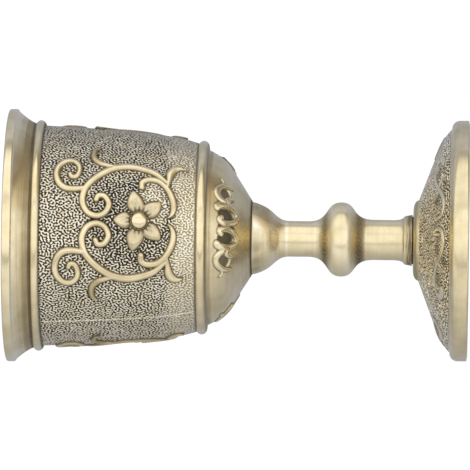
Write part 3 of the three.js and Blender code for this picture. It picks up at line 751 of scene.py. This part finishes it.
def cup_outline():
    """The bowl's rows, and which of them carry the frieze and the belt."""
    slope = CONE_H / (CONE_R - BOWL_BASE_R)
    hole_z = BOWL_Z + BOWL_STUD_TOP
    hidden = [(0, hole_z), (STUD_HOLE_R, hole_z), (STUD_HOLE_R, CUP_LOW[2]), (BOWL_SPIGOT_R, CUP_LOW[2]),
              (BOWL_SPIGOT_R, BOWL_Z), (BOWL_BASE_R - EDGE_STEP, BOWL_Z)]
    bottom = joined([(BOWL_BASE_R, BOWL_Z)],
                    bezier((CONE_R, BOWL_Z + CONE_H),
                           (CONE_R + BOTTOM_REACH, BOWL_Z + CONE_H + slope * BOTTOM_REACH),
                           (BOTTOM_R, BOTTOM_TOP_Z)))
    lower_bead = arc(LOWER_BEAD_R - LOWER_BEAD_ROUND, LOWER_BEAD_Z, LOWER_BEAD_ROUND, *BEAD_ARC)
    upper_bead = arc(UPPER_BEAD_R - UPPER_BEAD_ROUND, UPPER_BEAD_Z, UPPER_BEAD_ROUND, *BEAD_ARC)
    flare = bezier((THROAT_R, THROAT_Z),
                   (THROAT_R + MOUTH_BEND_R, THROAT_Z + MOUTH_BEND_AT * MOUTH_FLARE_H),
                   (MOUTH_R - LIP_ROUND, LIP_Z))
    lip = joined(arc(MOUTH_R - LIP_ROUND, LIP_Z + LIP_ROUND, LIP_ROUND, LIP_FROM, 0),
                 arc(MOUTH_R - LIP_ROUND, TOP_Z - LIP_ROUND, LIP_ROUND, 0, 90),
                 arc(MOUTH_R - BOWL_WALL + LIP_ROUND, TOP_Z - LIP_ROUND, LIP_ROUND, 90, 180))
    throat = (BELT_TOP_R - BOWL_WALL, BELT_TOP_Z)
    inner_flare = bezier((MOUTH_R - BOWL_WALL, TOP_Z - LIP_ROUND),
                         (throat[0] + THROAT_BEND, THROAT_Z), throat)
    side = belt_outline(BOWL_WALL)[::-1]
    floor_z = BOWL_Z + BOWL_FLOOR_T
    floor = bezier(side[-1], (side[-1][0] - FLOOR_BEND, floor_z), (FLOOR_R, floor_z))
    frieze = spaced(bottom, FRIEZE_STEP)
    belt = spaced(belt_outline(0), GRAIN_STEP)
    head = joined(hidden, frieze)
    before = joined(head, spaced(lower_bead, EDGE_STEP))
    after = joined(spaced(upper_bead, EDGE_STEP), spaced(flare, PLAIN_STEP), spaced(lip, EDGE_STEP),
                   spaced(joined(inner_flare, side, floor), HIDDEN_STEP),
                   spaced([(FLOOR_R, floor_z), (0, floor_z)], FLOOR_STEP))
    rows = joined(before, belt, after)
    first = len(before)
    return rows, slice(len(head) - len(frieze), len(head)), slice(first, first + len(belt))


def bands(level, listed):
    """Strength of bands round a piece at each of its levels."""
    total = np.zeros(len(level))
    for band in listed:
        total = np.maximum(total, bump(level, *band))
    return total[:, None]


def cup(material):
    rows, frieze, belt = cup_outline()
    level = rows[:, 1]
    shape = (len(rows), CAST_COLUMNS)
    raised = np.zeros(shape)
    inside = slice(np.argmax(level), None)
    stain = bands(level, CUP_STAINS)
    stain[inside] = INSIDE_STAIN
    brightened = bands(level, CUP_WORN)
    brightened[inside] = 0
    marks = (CUP_MARKS + CUP_STAIN_MARKS * stain) * streaks(*shape, seed=5)
    patina = BRASS + stain + marks - brightened
    grime = bands(level, CUP_CREASES) + raised
    raised[frieze], scrolls, share, shade = frieze_surface(rows[frieze])
    patina[frieze] = patina[frieze] * (1 - share) + scrolls * share
    grime[frieze] = np.maximum(grime[frieze], shade)
    raised[belt], patina[belt], shade = belt_surface(rows[belt, 1] - MOTIF_Z)
    grime[belt] = np.maximum(grime[belt], shade)
    made = turned("goblet_cup", rows, CAST_COLUMNS, material, raised, patina=patina, grime=grime)
    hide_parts("cup_bowl")


def stem_outline():
    collar_z = FOOT_H + GROOVE_H
    tapped_z = FOOT_H + TAPPED_TOP
    socket_z = BOWL_Z - BOWL_SOCKET_DEPTH
    hole_z = BOWL_Z - STUD_HOLE_DEPTH
    neck_end = (LOWER_NECK_R, KNOP_Z)
    crest = (KNOP_R, CREST_Z)
    upper_neck = (UPPER_NECK_R, UPPER_NECK_Z)
    flare_start = (UPPER_NECK_R, FLARE_Z)
    low_z = STEM_LOW[2]
    hidden_low = [(0, tapped_z), (TAPPED_R, tapped_z), (TAPPED_R, low_z), (STEM_SPIGOT_R, low_z),
                  (STEM_SPIGOT_R, FOOT_H), (GROOVE_R, FOOT_H), (GROOVE_R, collar_z)]
    collar = joined([(COLLAR_R, collar_z)],
                    arc(COLLAR_TOP_R - COLLAR_ROUND, COLLAR_TOP_Z, COLLAR_ROUND, 0, COLLAR_TURN))
    edge = collar[-1]
    fall_z = edge[1] + (edge[0] - LOWER_NECK_R) / math.tan(math.radians(COLLAR_TURN))
    fall = bezier(edge, (LOWER_NECK_R, fall_z), (LOWER_NECK_R, LOWER_NECK_Z))
    flare = bezier(flare_start, (UPPER_NECK_R, FLARE_Z + FLARE_LOW_PULL * FLARE_H),
                   (FLARE_R - FLARE_LEAN, BOWL_Z - FLARE_TOP_PULL * FLARE_H), (FLARE_R, BOWL_Z))
    shaft = joined(fall, [neck_end], ogee(neck_end, crest, LOWER_NECK_PULL, CREST_PULL),
                   ogee(crest, upper_neck, CREST_PULL, UPPER_NECK_PULL), [flare_start], flare)
    hidden_top = [(BOWL_SOCKET_R, BOWL_Z), (BOWL_SOCKET_R, socket_z), (STUD_HOLE_R, socket_z),
                  (STUD_HOLE_R, hole_z), (0, hole_z)]
    return joined(hidden_low, spaced(collar, EDGE_STEP), spaced(shaft, PLAIN_STEP), hidden_top)


def stem(material):
    rows = stem_outline()
    shape = (len(rows), STEM_COLUMNS)
    level = rows[:, 1]
    to_x = np.sin(np.radians(column_angles(STEM_COLUMNS)))
    stain = bands(level, STEM_STAINS)
    creases = bands(level, STEM_CREASES)
    marks = (STEM_STAIN_MARKS * stain + STEM_CREASE_MARKS * creases) * streaks(*shape, seed=7)
    fillets = bands(level, FILLETS) * (1 + SPECKLE_SHARE * labyrinth(*shape, *SPECKLE_PITCH, seed=31))
    # grime in the fillets, with painted shade towards -X
    fillet_grime = fillets * (FILLET_GRIME + smooth(-to_x, *FILLET_SIDE_SHADE))
    seat = bands(level, SEAT)
    # where the seat's painted highlights lie
    patch = bump(from_line(STEM_COLUMNS, SEAT_HIGHLIGHT_AT), 0, SEAT_HIGHLIGHT_W)
    blotches = 1 + BLOTCH_SHARE * labyrinth(*shape, *BLOTCH_PITCH, seed=37)
    # painted shade on the seat between its highlights
    seat_grime = SEAT_SHADE * seat * (1 - patch) * blotches
    # painted highlights on the stem and on its seat
    brightened = bands(level, STEM_HIGHLIGHTS) + SEAT_HIGHLIGHT * seat * patch
    # painted shade on the flare towards +X
    flare_grime = bands(level, FLARE_SHADE) * smooth(to_x, *FLARE_SIDE)
    grime = np.maximum.reduce(np.broadcast_arrays(creases, seat_grime, flare_grime, fillet_grime))
    satin = np.maximum(bands(level, STEM_FLANKS), STEM_SATIN)
    patina = np.maximum(BRASS + STEM_TONE + stain + marks - brightened + FILLET_BROWN * fillets, 0)
    made = turned("goblet_stem", rows, STEM_COLUMNS, material, patina=patina, grime=grime, satin=satin)
    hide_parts("stem")


def foot_outline():
    """The foot's rows, and which of them carry the dome."""
    clamp_z = FLAT_HIGH[2]
    shoulder_z = FLANGE_H + SHOULDER_H
    dome_top_z = FOOT_H - DISC_H
    slope = (dome_top_z - shoulder_z) / (SHOULDER_R - DOME_TOP_R)
    drop = FOOT_WALL * math.hypot(1, slope)
    stand_r = FOOT_R - STAND_W
    hollow_r = stand_r - FOOT_WALL
    hollow_z = dome_top_z - slope * (hollow_r - DOME_TOP_R) - drop
    clamp_r = DOME_TOP_R + (dome_top_z - drop - clamp_z) / slope
    under = [(FOOT_BOLT_R, clamp_z), (clamp_r, clamp_z), (hollow_r, hollow_z),
             (stand_r, hollow_z - FOOT_WALL), (stand_r, FOOT_EDGE), (stand_r + FOOT_EDGE, 0),
             (FOOT_R - FOOT_EDGE, 0), (FOOT_R, FOOT_EDGE)]
    flange = joined([(FOOT_R, FOOT_EDGE)],
                    arc(FOOT_R - FLANGE_ROUND, FLANGE_H - FLANGE_ROUND, FLANGE_ROUND, 0, 90),
                    [(DOME_R, FLANGE_H)])
    shoulder = bezier((DOME_R, FLANGE_H),
                      (SHOULDER_R + SHOULDER_REACH, shoulder_z - slope * SHOULDER_REACH),
                      (SHOULDER_R, shoulder_z))
    dome = spaced(joined(shoulder, [(DOME_TOP_R, dome_top_z)]), GRAIN_STEP)
    disc = bezier((DOME_TOP_R, dome_top_z), (DISC_BEND_R, FOOT_H), (DISC_R, FOOT_H))
    socket_z = STEM_LOW[2] - SPIGOT_GAP
    top = [(FOOT_SOCKET_R, FOOT_H), (FOOT_SOCKET_R, socket_z), (FOOT_BOLT_R, socket_z),
           (FOOT_BOLT_R, clamp_z)]
    before = joined(spaced(under, HIDDEN_STEP), spaced(flange, PLAIN_STEP))
    rows = joined(before, dome, spaced(disc, EDGE_STEP), top)
    return rows, slice(len(before) - 1, len(before) - 1 + len(dome))


def foot_grain(rows):
    """The casting grain as seen from above, laid over the dome."""
    side = int(2 * DOME_R / PLAN_STEP) + PLAN_SPARE
    plan = labyrinth(side, side, DOME_PITCH / PLAN_STEP, DOME_PITCH / PLAN_STEP, seed=23)
    turn = np.radians(column_angles(CAST_COLUMNS))
    x = (rows[:, :1] * np.sin(turn) / PLAN_STEP + side / 2).astype(int)
    y = (rows[:, :1] * np.cos(turn) / PLAN_STEP + side / 2).astype(int)
    return plan[y, x]


def foot(material):
    rows, dome = foot_outline()
    on_dome = rows[dome]
    x, y, _ = motif_grid(FOOT_TURN, DOME_MEAN_R, run_of(on_dome))
    relief, gap = ridges(x, y, DOME_STROKES, DOME_RELIEF_H)
    shade = beside(gap, *DOME_LINE)
    # patina and painted shade in the hollows beside the dome's strokes
    for *place, dark in DOME_HOLLOWS:
        shade = np.maximum(shade, dark * hollow(x, y, place, gap))
    relief, gap, shade = map(all_round, (relief, gap, shade))
    grain = foot_grain(on_dome)
    radius = on_dome[:, :1]
    fade = smooth(DOME_R - radius, *DOME_LOW_FADE) * smooth(radius - DOME_TOP_R, *DOME_TOP_FADE)
    bare = smooth(gap, 0, BARE_GAP) * fade
    shape = (len(rows), CAST_COLUMNS)
    raised = np.zeros(shape)
    patina = BRASS + bands(rows[:, 0], FOOT_STAINS) + raised
    grime = bands(rows[:, 0], FOOT_CREASES) + raised
    raised[dome] = DOME_STIPPLE_H * (grain - 1) * bare + relief
    # painted light: the dome's ground paler away from the camera's side
    front = np.abs((column_angles(CAST_COLUMNS) + 180) % 360 - 180)
    ground = BRASS - smooth(front, *DOME_SIDE_LIGHT)
    strokes = stroke_patina(relief, DOME_RELIEF_H, *DOME_SHADING)
    patina[dome] = np.where(bare > 0.5, ground, strokes)
    grime[dome] = np.maximum(DOME_GRAIN_GRIME * smooth(grain, *GRIMY_GRAIN) * bare, shade)
    made = turned("goblet_foot", rows, CAST_COLUMNS, material, raised, patina=patina, grime=grime)
    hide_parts("foot")


# Fasteners

def threaded(rows, radius, pitch, ends):
    """Depth of a right-hand thread on a shank's rows between two heights, faded out at its ends."""
    level = rows[:, 1:]
    share = (level / pitch - column_angles(BOLT_COLUMNS) / 360) % 1
    depth = THREAD_SHARE * pitch * np.clip(THREAD_RISE - np.abs(2 * share - 1) * THREAD_SLOPE, 0, 1)
    on_shank = np.abs(rows[:, :1] - radius) < 1e-6
    fade = smooth(level, ends[0], ends[0] + pitch) * smooth(level, ends[1], ends[1] - pitch) * on_shank
    return -depth * fade


def finished(made, node):
    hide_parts(node)


def bowl_stud(material):
    radius, low, top = STUD_HIGH[0], STUD_LOW[2], STUD_HIGH[2]
    side = [(radius, low + BOLT_CHAMFER), (radius, top - BOLT_CHAMFER)]
    rows = joined([(0, low), (radius - BOLT_CHAMFER, low)], spaced(side, BOLT_STEP),
                  [(radius - BOLT_CHAMFER, top), (0, top)])
    raised = threaded(rows, radius, STUD_PITCH, (low, top))
    finished(turned("stud", rows, BOLT_COLUMNS, material, raised), "bowl_stud")


def cross_recess(rows):
    """Share of the recess's depth at each place of the head's face."""
    turn = np.radians(column_angles(BOLT_COLUMNS))
    x, y = np.abs(rows[:, :1] * np.sin(turn)), np.abs(rows[:, :1] * np.cos(turn))
    arms = [np.minimum(RECESS_L / 2 - a, RECESS_W / 2 - b) for a, b in ((x, y), (y, x))]
    return smooth(np.maximum(*arms), 0, RECESS_SLOPE)


def foot_screw(material):
    face_z, top = SCREW_LOW[2], SCREW_HIGH[2]
    head_r = SCREW_HIGH[0]
    seat_z = face_z + HEAD_H
    face_r = head_r - HEAD_CROWN
    face = spaced([(0, face_z), (face_r, face_z)], BOLT_STEP)
    crown = bezier((face_r, face_z), (head_r, face_z), (head_r, face_z + HEAD_CROWN))
    shank = [(SCREW_R, seat_z + WASHER_EDGE), (SCREW_R, top - BOLT_CHAMFER)]
    under = [(head_r, seat_z - WASHER_EDGE), (head_r - WASHER_EDGE, seat_z), (SCREW_R, seat_z)]
    rows = joined(face, spaced(crown, EDGE_STEP), under, spaced(shank, BOLT_STEP),
                  [(SCREW_R - BOLT_CHAMFER, top), (0, top)])
    raised = threaded(rows, SCREW_R, SCREW_PITCH, (FLAT_HIGH[2], top))
    raised[:len(face)] -= RECESS_DEPTH * cross_recess(face)
    finished(turned("screw", rows, BOLT_COLUMNS, material, raised), "foot_screw")


def washer_section(low, high):
    """A washer's section with broken edges, closed on itself."""
    inner, outer = WASHER_BORE_R, high[0]
    edge = WASHER_EDGE
    z0, z1 = low[2], high[2]
    corner = [(inner + edge, z0), (outer - edge, z0), (outer, z0 + edge), (outer, z1 - edge),
              (outer - edge, z1), (inner + edge, z1), (inner, z1 - edge), (inner, z0 + edge)]
    return np.array(corner + corner[:1])


def flat_washer(material):
    rows = spaced(washer_section(FLAT_LOW, FLAT_HIGH), WASHER_EDGE)
    rows[-1] = rows[0]
    finished(turned("washer", rows, BOLT_COLUMNS, material), "flat_washer")


def spring_washer(material):
    """A ring with a slanting slit at +X."""
    section = washer_section(SPRING_LOW, SPRING_HIGH)[:-1]
    middle = (SPRING_LOW[2] + SPRING_HIGH[2]) / 2
    count = len(section)
    radius, height = section.T
    lean = np.tan(np.radians(SPRING_SLIT_TILT)) * (height - middle)
    share = np.linspace(0, 1, BOLT_COLUMNS)[:, None]
    first = (lean + SPRING_SLIT / 2) / radius
    last = 2 * math.pi + (lean - SPRING_SLIT / 2) / radius
    angle = first * (1 - share) + last * share
    points = table(radius * np.cos(angle), radius * np.sin(angle), height).reshape(-1, 3)
    place = np.arange(len(points)).reshape(-1, count)
    after = np.roll(place, -1, axis=1)
    faces = table(place[:-1], place[1:], after[1:], after[:-1]).reshape(-1, 4).tolist()
    u = np.arange(BOLT_COLUMNS)[:, None] / BOLT_COLUMNS
    v = np.arange(count + 1) / count
    uv = table(u[:-1], v[:-1], u[1:], v[:-1], u[1:], v[1:], u[:-1], v[1:]).reshape(-1, 2).tolist()
    end = (BOLT_COLUMNS - 1) * count
    faces += [tuple(range(count)), tuple(range(end + count - 1, end - 1, -1))]
    uv += [(1, k / count) for k in range(count)] * 2
    made = mesh_object("split_washer", points, faces, material, uv, {})
    made.data.set_sharp_from_angle(angle=math.radians(SHARP_ANGLE))
    finished(made, "spring_washer")


# Materials

def feed(tree, node, inputs):
    """Sets a node's inputs, by name or number, to plain values or to other nodes' outputs."""
    for name, value in inputs.items():
        if isinstance(value, bpy.types.NodeSocket):
            tree.links.new(value, node.inputs[name])
        else:
            node.inputs[name].default_value = value


def add(tree, kind, inputs, output, **settings):
    """One output of a new node."""
    node = tree.nodes.new("ShaderNode" + kind)
    for name, value in settings.items():
        setattr(node, name, value)
    feed(tree, node, inputs)
    return node.outputs[output]


def calculated(tree, operation, *values, clamp=False):
    """A sum, product or other function of values."""
    return add(tree, "Math", dict(enumerate(values)), "Value", operation=operation, use_clamp=clamp)


def noise(tree, scale, detail, stretch=(1, 1, 1)):
    """A noise texture over object coordinates, stretched along an axis."""
    place = add(tree, "TexCoord", {}, "Object")
    vector = add(tree, "Mapping", {"Scale": stretch, "Vector": place}, "Vector")
    return add(tree, "TexNoise", {"Scale": scale, "Detail": detail, "Vector": vector}, "Fac")


def spread(tree, value, low, high, start=0, end=1):
    """A value mapped from start and end to low and high."""
    ends = {"From Min": start, "From Max": end, "To Min": low, "To Max": high}
    return add(tree, "MapRange", {"Value": value, **ends}, "Result")


def blended(tree, share, first, second, way="MIX"):
    """A colour between two, or towards their product."""
    inputs = {"Factor": share, "A": first, "B": second}
    return add(tree, "Mix", inputs, "Result", data_type="RGBA", blend_type=way)


def colour_ramp(tree, value, stops):
    """A colour that follows a value through stops of position and colour."""
    ramp = tree.nodes.new("ShaderNodeValToRGB")
    elements = ramp.color_ramp.elements
    while len(elements) > 1:
        elements.remove(elements[-1])
    for i, (position, colour) in enumerate(stops):
        element = elements[0] if i == 0 else elements.new(position)
        element.position = position
        element.color = (*colour, 1)
    feed(tree, ramp, {"Fac": value})
    return ramp.outputs["Color"]


def shader(name):
    """A new material, its node tree and its surface node."""
    material = bpy.data.materials.new(name)
    material.use_nodes = True
    return material, material.node_tree, material.node_tree.nodes["Principled BSDF"]


# Antique brass: the metal's colour by its film of patina, which also carries painted highlights and
# shading, and the colour of grime and painted shade
METAL = [(0.0, (0.98, 0.92, 0.76)), (0.2, (0.86, 0.74, 0.48)), (0.45, (0.46, 0.37, 0.21)),
         (1.0, (0.1, 0.08, 0.05))]
GRIME_AND_SHADE = (0.034, 0.029, 0.026, 1)
# Noises: scale, detail and stretch. Film that they add, and roughness: low, high, and the range between.
BRUSH = (1, 3, (90, 90, 5200))
BRUSH_FILM = (-0.015, 0.025, 0.35, 0.75)
BRUSH_HEIGHT = (0, 0.05)
CLOUDS = (300, 4)
CLOUD_FILM = (-0.05, 0.08, 0.3, 0.75)
ROUGHNESS = (0.13, 0.6, 0.17, 0.65)
WAVES = (260, 2)
BUMPS = {"Strength": 0.25, "Distance": 0.0001}

# Zinc plating
ZINC = [(0.3, (0.55, 0.56, 0.57)), (0.7, (0.72, 0.73, 0.72))]
SPANGLE = (900, 4)
ZINC_ROUGHNESS = (0.26, 0.42)


def antique_brass():
    """Brass with turning marks. Attributes change it: patina browns it, with painted highlights and painted
    shading in the same attribute; grime and painted shade blacken it; satin roughens.
    """
    material, tree, surface = shader("antique_brass")
    patina, grime, satin = (add(tree, "Attribute", {}, "Fac", attribute_name=name)
                            for name in ("patina", "grime", "satin"))
    brush = noise(tree, *BRUSH)
    cloud = spread(tree, noise(tree, *CLOUDS), *CLOUD_FILM)
    film = calculated(tree, "ADD", cloud, spread(tree, brush, *BRUSH_FILM))
    film = calculated(tree, "ADD", film, patina, clamp=True)
    darker = calculated(tree, "MAXIMUM", film, grime)
    height = calculated(tree, "ADD", noise(tree, *WAVES), spread(tree, brush, *BRUSH_HEIGHT))
    feed(tree, surface, {
        "Metallic": 1.0,
        "Base Color": blended(tree, grime, colour_ramp(tree, film, METAL), GRIME_AND_SHADE),
        "Roughness": calculated(tree, "ADD", spread(tree, darker, *ROUGHNESS), satin),
        "Normal": add(tree, "Bump", {"Height": height, **BUMPS}, "Normal"),
    })
    return material


def zinc_steel():
    """Bright zinc plating with a faint spangle."""
    material, tree, surface = shader("zinc_steel")
    spangle = noise(tree, *SPANGLE)
    feed(tree, surface, {
        "Metallic": 1.0,
        "Base Color": colour_ramp(tree, spangle, ZINC),
        "Roughness": spread(tree, spangle, *ZINC_ROUGHNESS),
    })
    return material


# Studio

# The surroundings' brightness by azimuth, in degrees from the camera's side towards +X, and how cool it is
ROUND_LIGHT = [
    (-180, 0.44, 1.2), (-140, 0.44, 0.7), (-100, 0.54, 0.3), (-60, 0.78, 0), (-44, 0.9, 0), (-36, 0.9, 0),
    (-28, 0.85, 0), (-24, 0.5, 0), (-21, 0.5, 0), (-17, 1.0, 0), (-5, 1.12, 0), (10, 1.15, 0),
    (31, 1.15, 0), (33, 0.75, 0), (36, 0.75, 0), (38, 1.15, 0), (80, 1.1, 0), (89, 0.45, 0),
    (94, 0.4, 0.8), (101, 0.64, 1.5), (122, 0.55, 1.5), (135, 0.45, 1.4), (180, 0.44, 1.2)]
COOL = (-0.05, -0.01, 0.12)  # what cool light adds to red, green and blue, of its brightness
# Brightness far below and far above: in the middle, its gain towards the camera's side, and its least
LOW_LIGHT = (0.8, 0.6, 0.46)
HIGH_LIGHT = (0.82, 0.5, 0.45)
LEVEL_BELT = (60, 90)  # elevations between which the round light gives way to the low or high one
LOW_TO_HIGH = (-0.3, 0.3)  # and sines of those between which low becomes high
# A brown card low on one side: its middle's azimuth and elevation, its soft edge, and the light it leaves
CARD = (88, -46)
CARD_EDGE = (34, 18)
CARD_LIGHT = (0.56, 0.48, 0.36, 1)
STUDIO_STRENGTH = 1.05
WHITE = (1, 1, 1, 1)
FLOOR_REACH = 1.5
FLOOR_LOOK = {"Base Color": (0.9, 0.9, 0.9, 1), "Roughness": 0.8,
              "Emission Color": WHITE, "Emission Strength": 0.4}


def white_floor():
    mesh = bpy.data.meshes.new("studio_floor")
    corner = [(-1, -1), (1, -1), (1, 1), (-1, 1)]
    mesh.from_pydata([(x * FLOOR_REACH, y * FLOOR_REACH, 0) for x, y in corner], [], [(0, 1, 2, 3)])
    material, tree, surface = shader("studio_floor")
    feed(tree, surface, FLOOR_LOOK)
    mesh.materials.append(material)
    floor = bpy.data.objects.new("studio_floor", mesh)
    # the polished metal mirrors the studio instead of the white sheet it stands on
    floor.visible_glossy = False
    floor.visible_shadow = False
    bpy.context.scene.collection.objects.link(floor)


def studio():
    """White ground for the camera, and soft light all round for the metal to mirror."""
    white_floor()
    world = bpy.data.worlds.new("studio")
    world.use_nodes = True
    tree = world.node_tree
    direction = add(tree, "TexCoord", {}, "Generated")
    to_x, to_y, to_z = (add(tree, "SeparateXYZ", {"Vector": direction}, axis) for axis in "XYZ")
    forward = calculated(tree, "MULTIPLY", to_y, -1.0)
    turn = spread(tree, calculated(tree, "ARCTAN2", to_x, forward), 0, 1, -math.pi, math.pi)
    stops = [((angle + 180) / 360, [light * (1 + cool * tint) for tint in COOL])
             for angle, light, cool in ROUND_LIGHT]
    level = colour_ramp(tree, turn, stops)
    low, high = (calculated(tree, "MAXIMUM", least, calculated(tree, "MULTIPLY_ADD", forward, gain, mean))
                 for mean, gain, least in (LOW_LIGHT, HIGH_LIGHT))
    ends = blended(tree, spread(tree, to_z, 0, 1, *LOW_TO_HIGH), low, high)
    slope = calculated(tree, "ABSOLUTE", calculated(tree, "ARCSINE", to_z))
    steep = spread(tree, slope, 0, 1, *(math.radians(angle) for angle in LEVEL_BELT))
    mirrored = blended(tree, steep, level, ends)
    bearing, rise = (math.radians(angle) for angle in CARD)
    to_card = (math.cos(rise) * math.sin(bearing), -math.cos(rise) * math.cos(bearing), math.sin(rise))
    near = add(tree, "VectorMath", {0: direction, 1: to_card}, "Value", operation="DOT_PRODUCT")
    on_card = spread(tree, near, 0, 1, *(math.cos(math.radians(angle)) for angle in CARD_EDGE))
    shaded = blended(tree, on_card, mirrored, CARD_LIGHT, "MULTIPLY")
    seen = blended(tree, add(tree, "LightPath", {}, "Is Camera Ray"), shaded, WHITE)
    feed(tree, tree.nodes["Background"], {"Color": seen, "Strength": STUDIO_STRENGTH})
    bpy.context.scene.world = world
    bpy.context.scene.view_settings.view_transform = "Standard"


# Camera, fitted to the photograph's 470 by 470 pixels
FRAME_PX = 470
HEIGHT_PX = 460.2
CENTRE_PX = (237.9, 237.6)
CAMERA_AWAY = 1.2
CAMERA_Z = 0.005
CAMERA_ROLL = 0.0134
SENSOR = 36.0
CLIP_START = 0.05
CLIP_END = 20


def camera():
    """Looks along +Y with the goblet's mouth to the left, as the photograph was turned."""
    scale = TOP_Z * MM / HEIGHT_PX
    middle = TOP_Z / 2 * MM
    data = bpy.data.cameras.new("camera")
    data.sensor_width = SENSOR
    data.lens = SENSOR * CAMERA_AWAY / (scale * FRAME_PX)
    data.clip_start = CLIP_START
    data.clip_end = CLIP_END
    made = bpy.data.objects.new("camera", data)
    rise = math.asin((CAMERA_Z - middle) / CAMERA_AWAY)
    back = Vector((0, -math.cos(rise), math.sin(rise)))
    up = Vector((1, 0, 0))
    right = (-back).cross(up)
    c, s = math.cos(CAMERA_ROLL), math.sin(CAMERA_ROLL)
    across = c * right + s * up
    above = -s * right + c * up
    picture_middle = (FRAME_PX - 1) / 2
    place = Vector((0, 0, middle)) + back * CAMERA_AWAY
    place -= across * (CENTRE_PX[0] - picture_middle) * scale
    place += above * (CENTRE_PX[1] - picture_middle) * scale
    axes = Matrix((across, above, back)).transposed()
    made.matrix_world = Matrix.Translation(place) @ axes.to_4x4()
    bpy.context.scene.collection.objects.link(made)
    bpy.context.scene.camera = made


def main():
    brass = antique_brass()
    steel = zinc_steel()
    camera()
    studio()
    cup(brass)
    stem(brass)
    foot(brass)
    bowl_stud(steel)
    foot_screw(steel)
    flat_washer(steel)
    spring_washer(steel)


main()
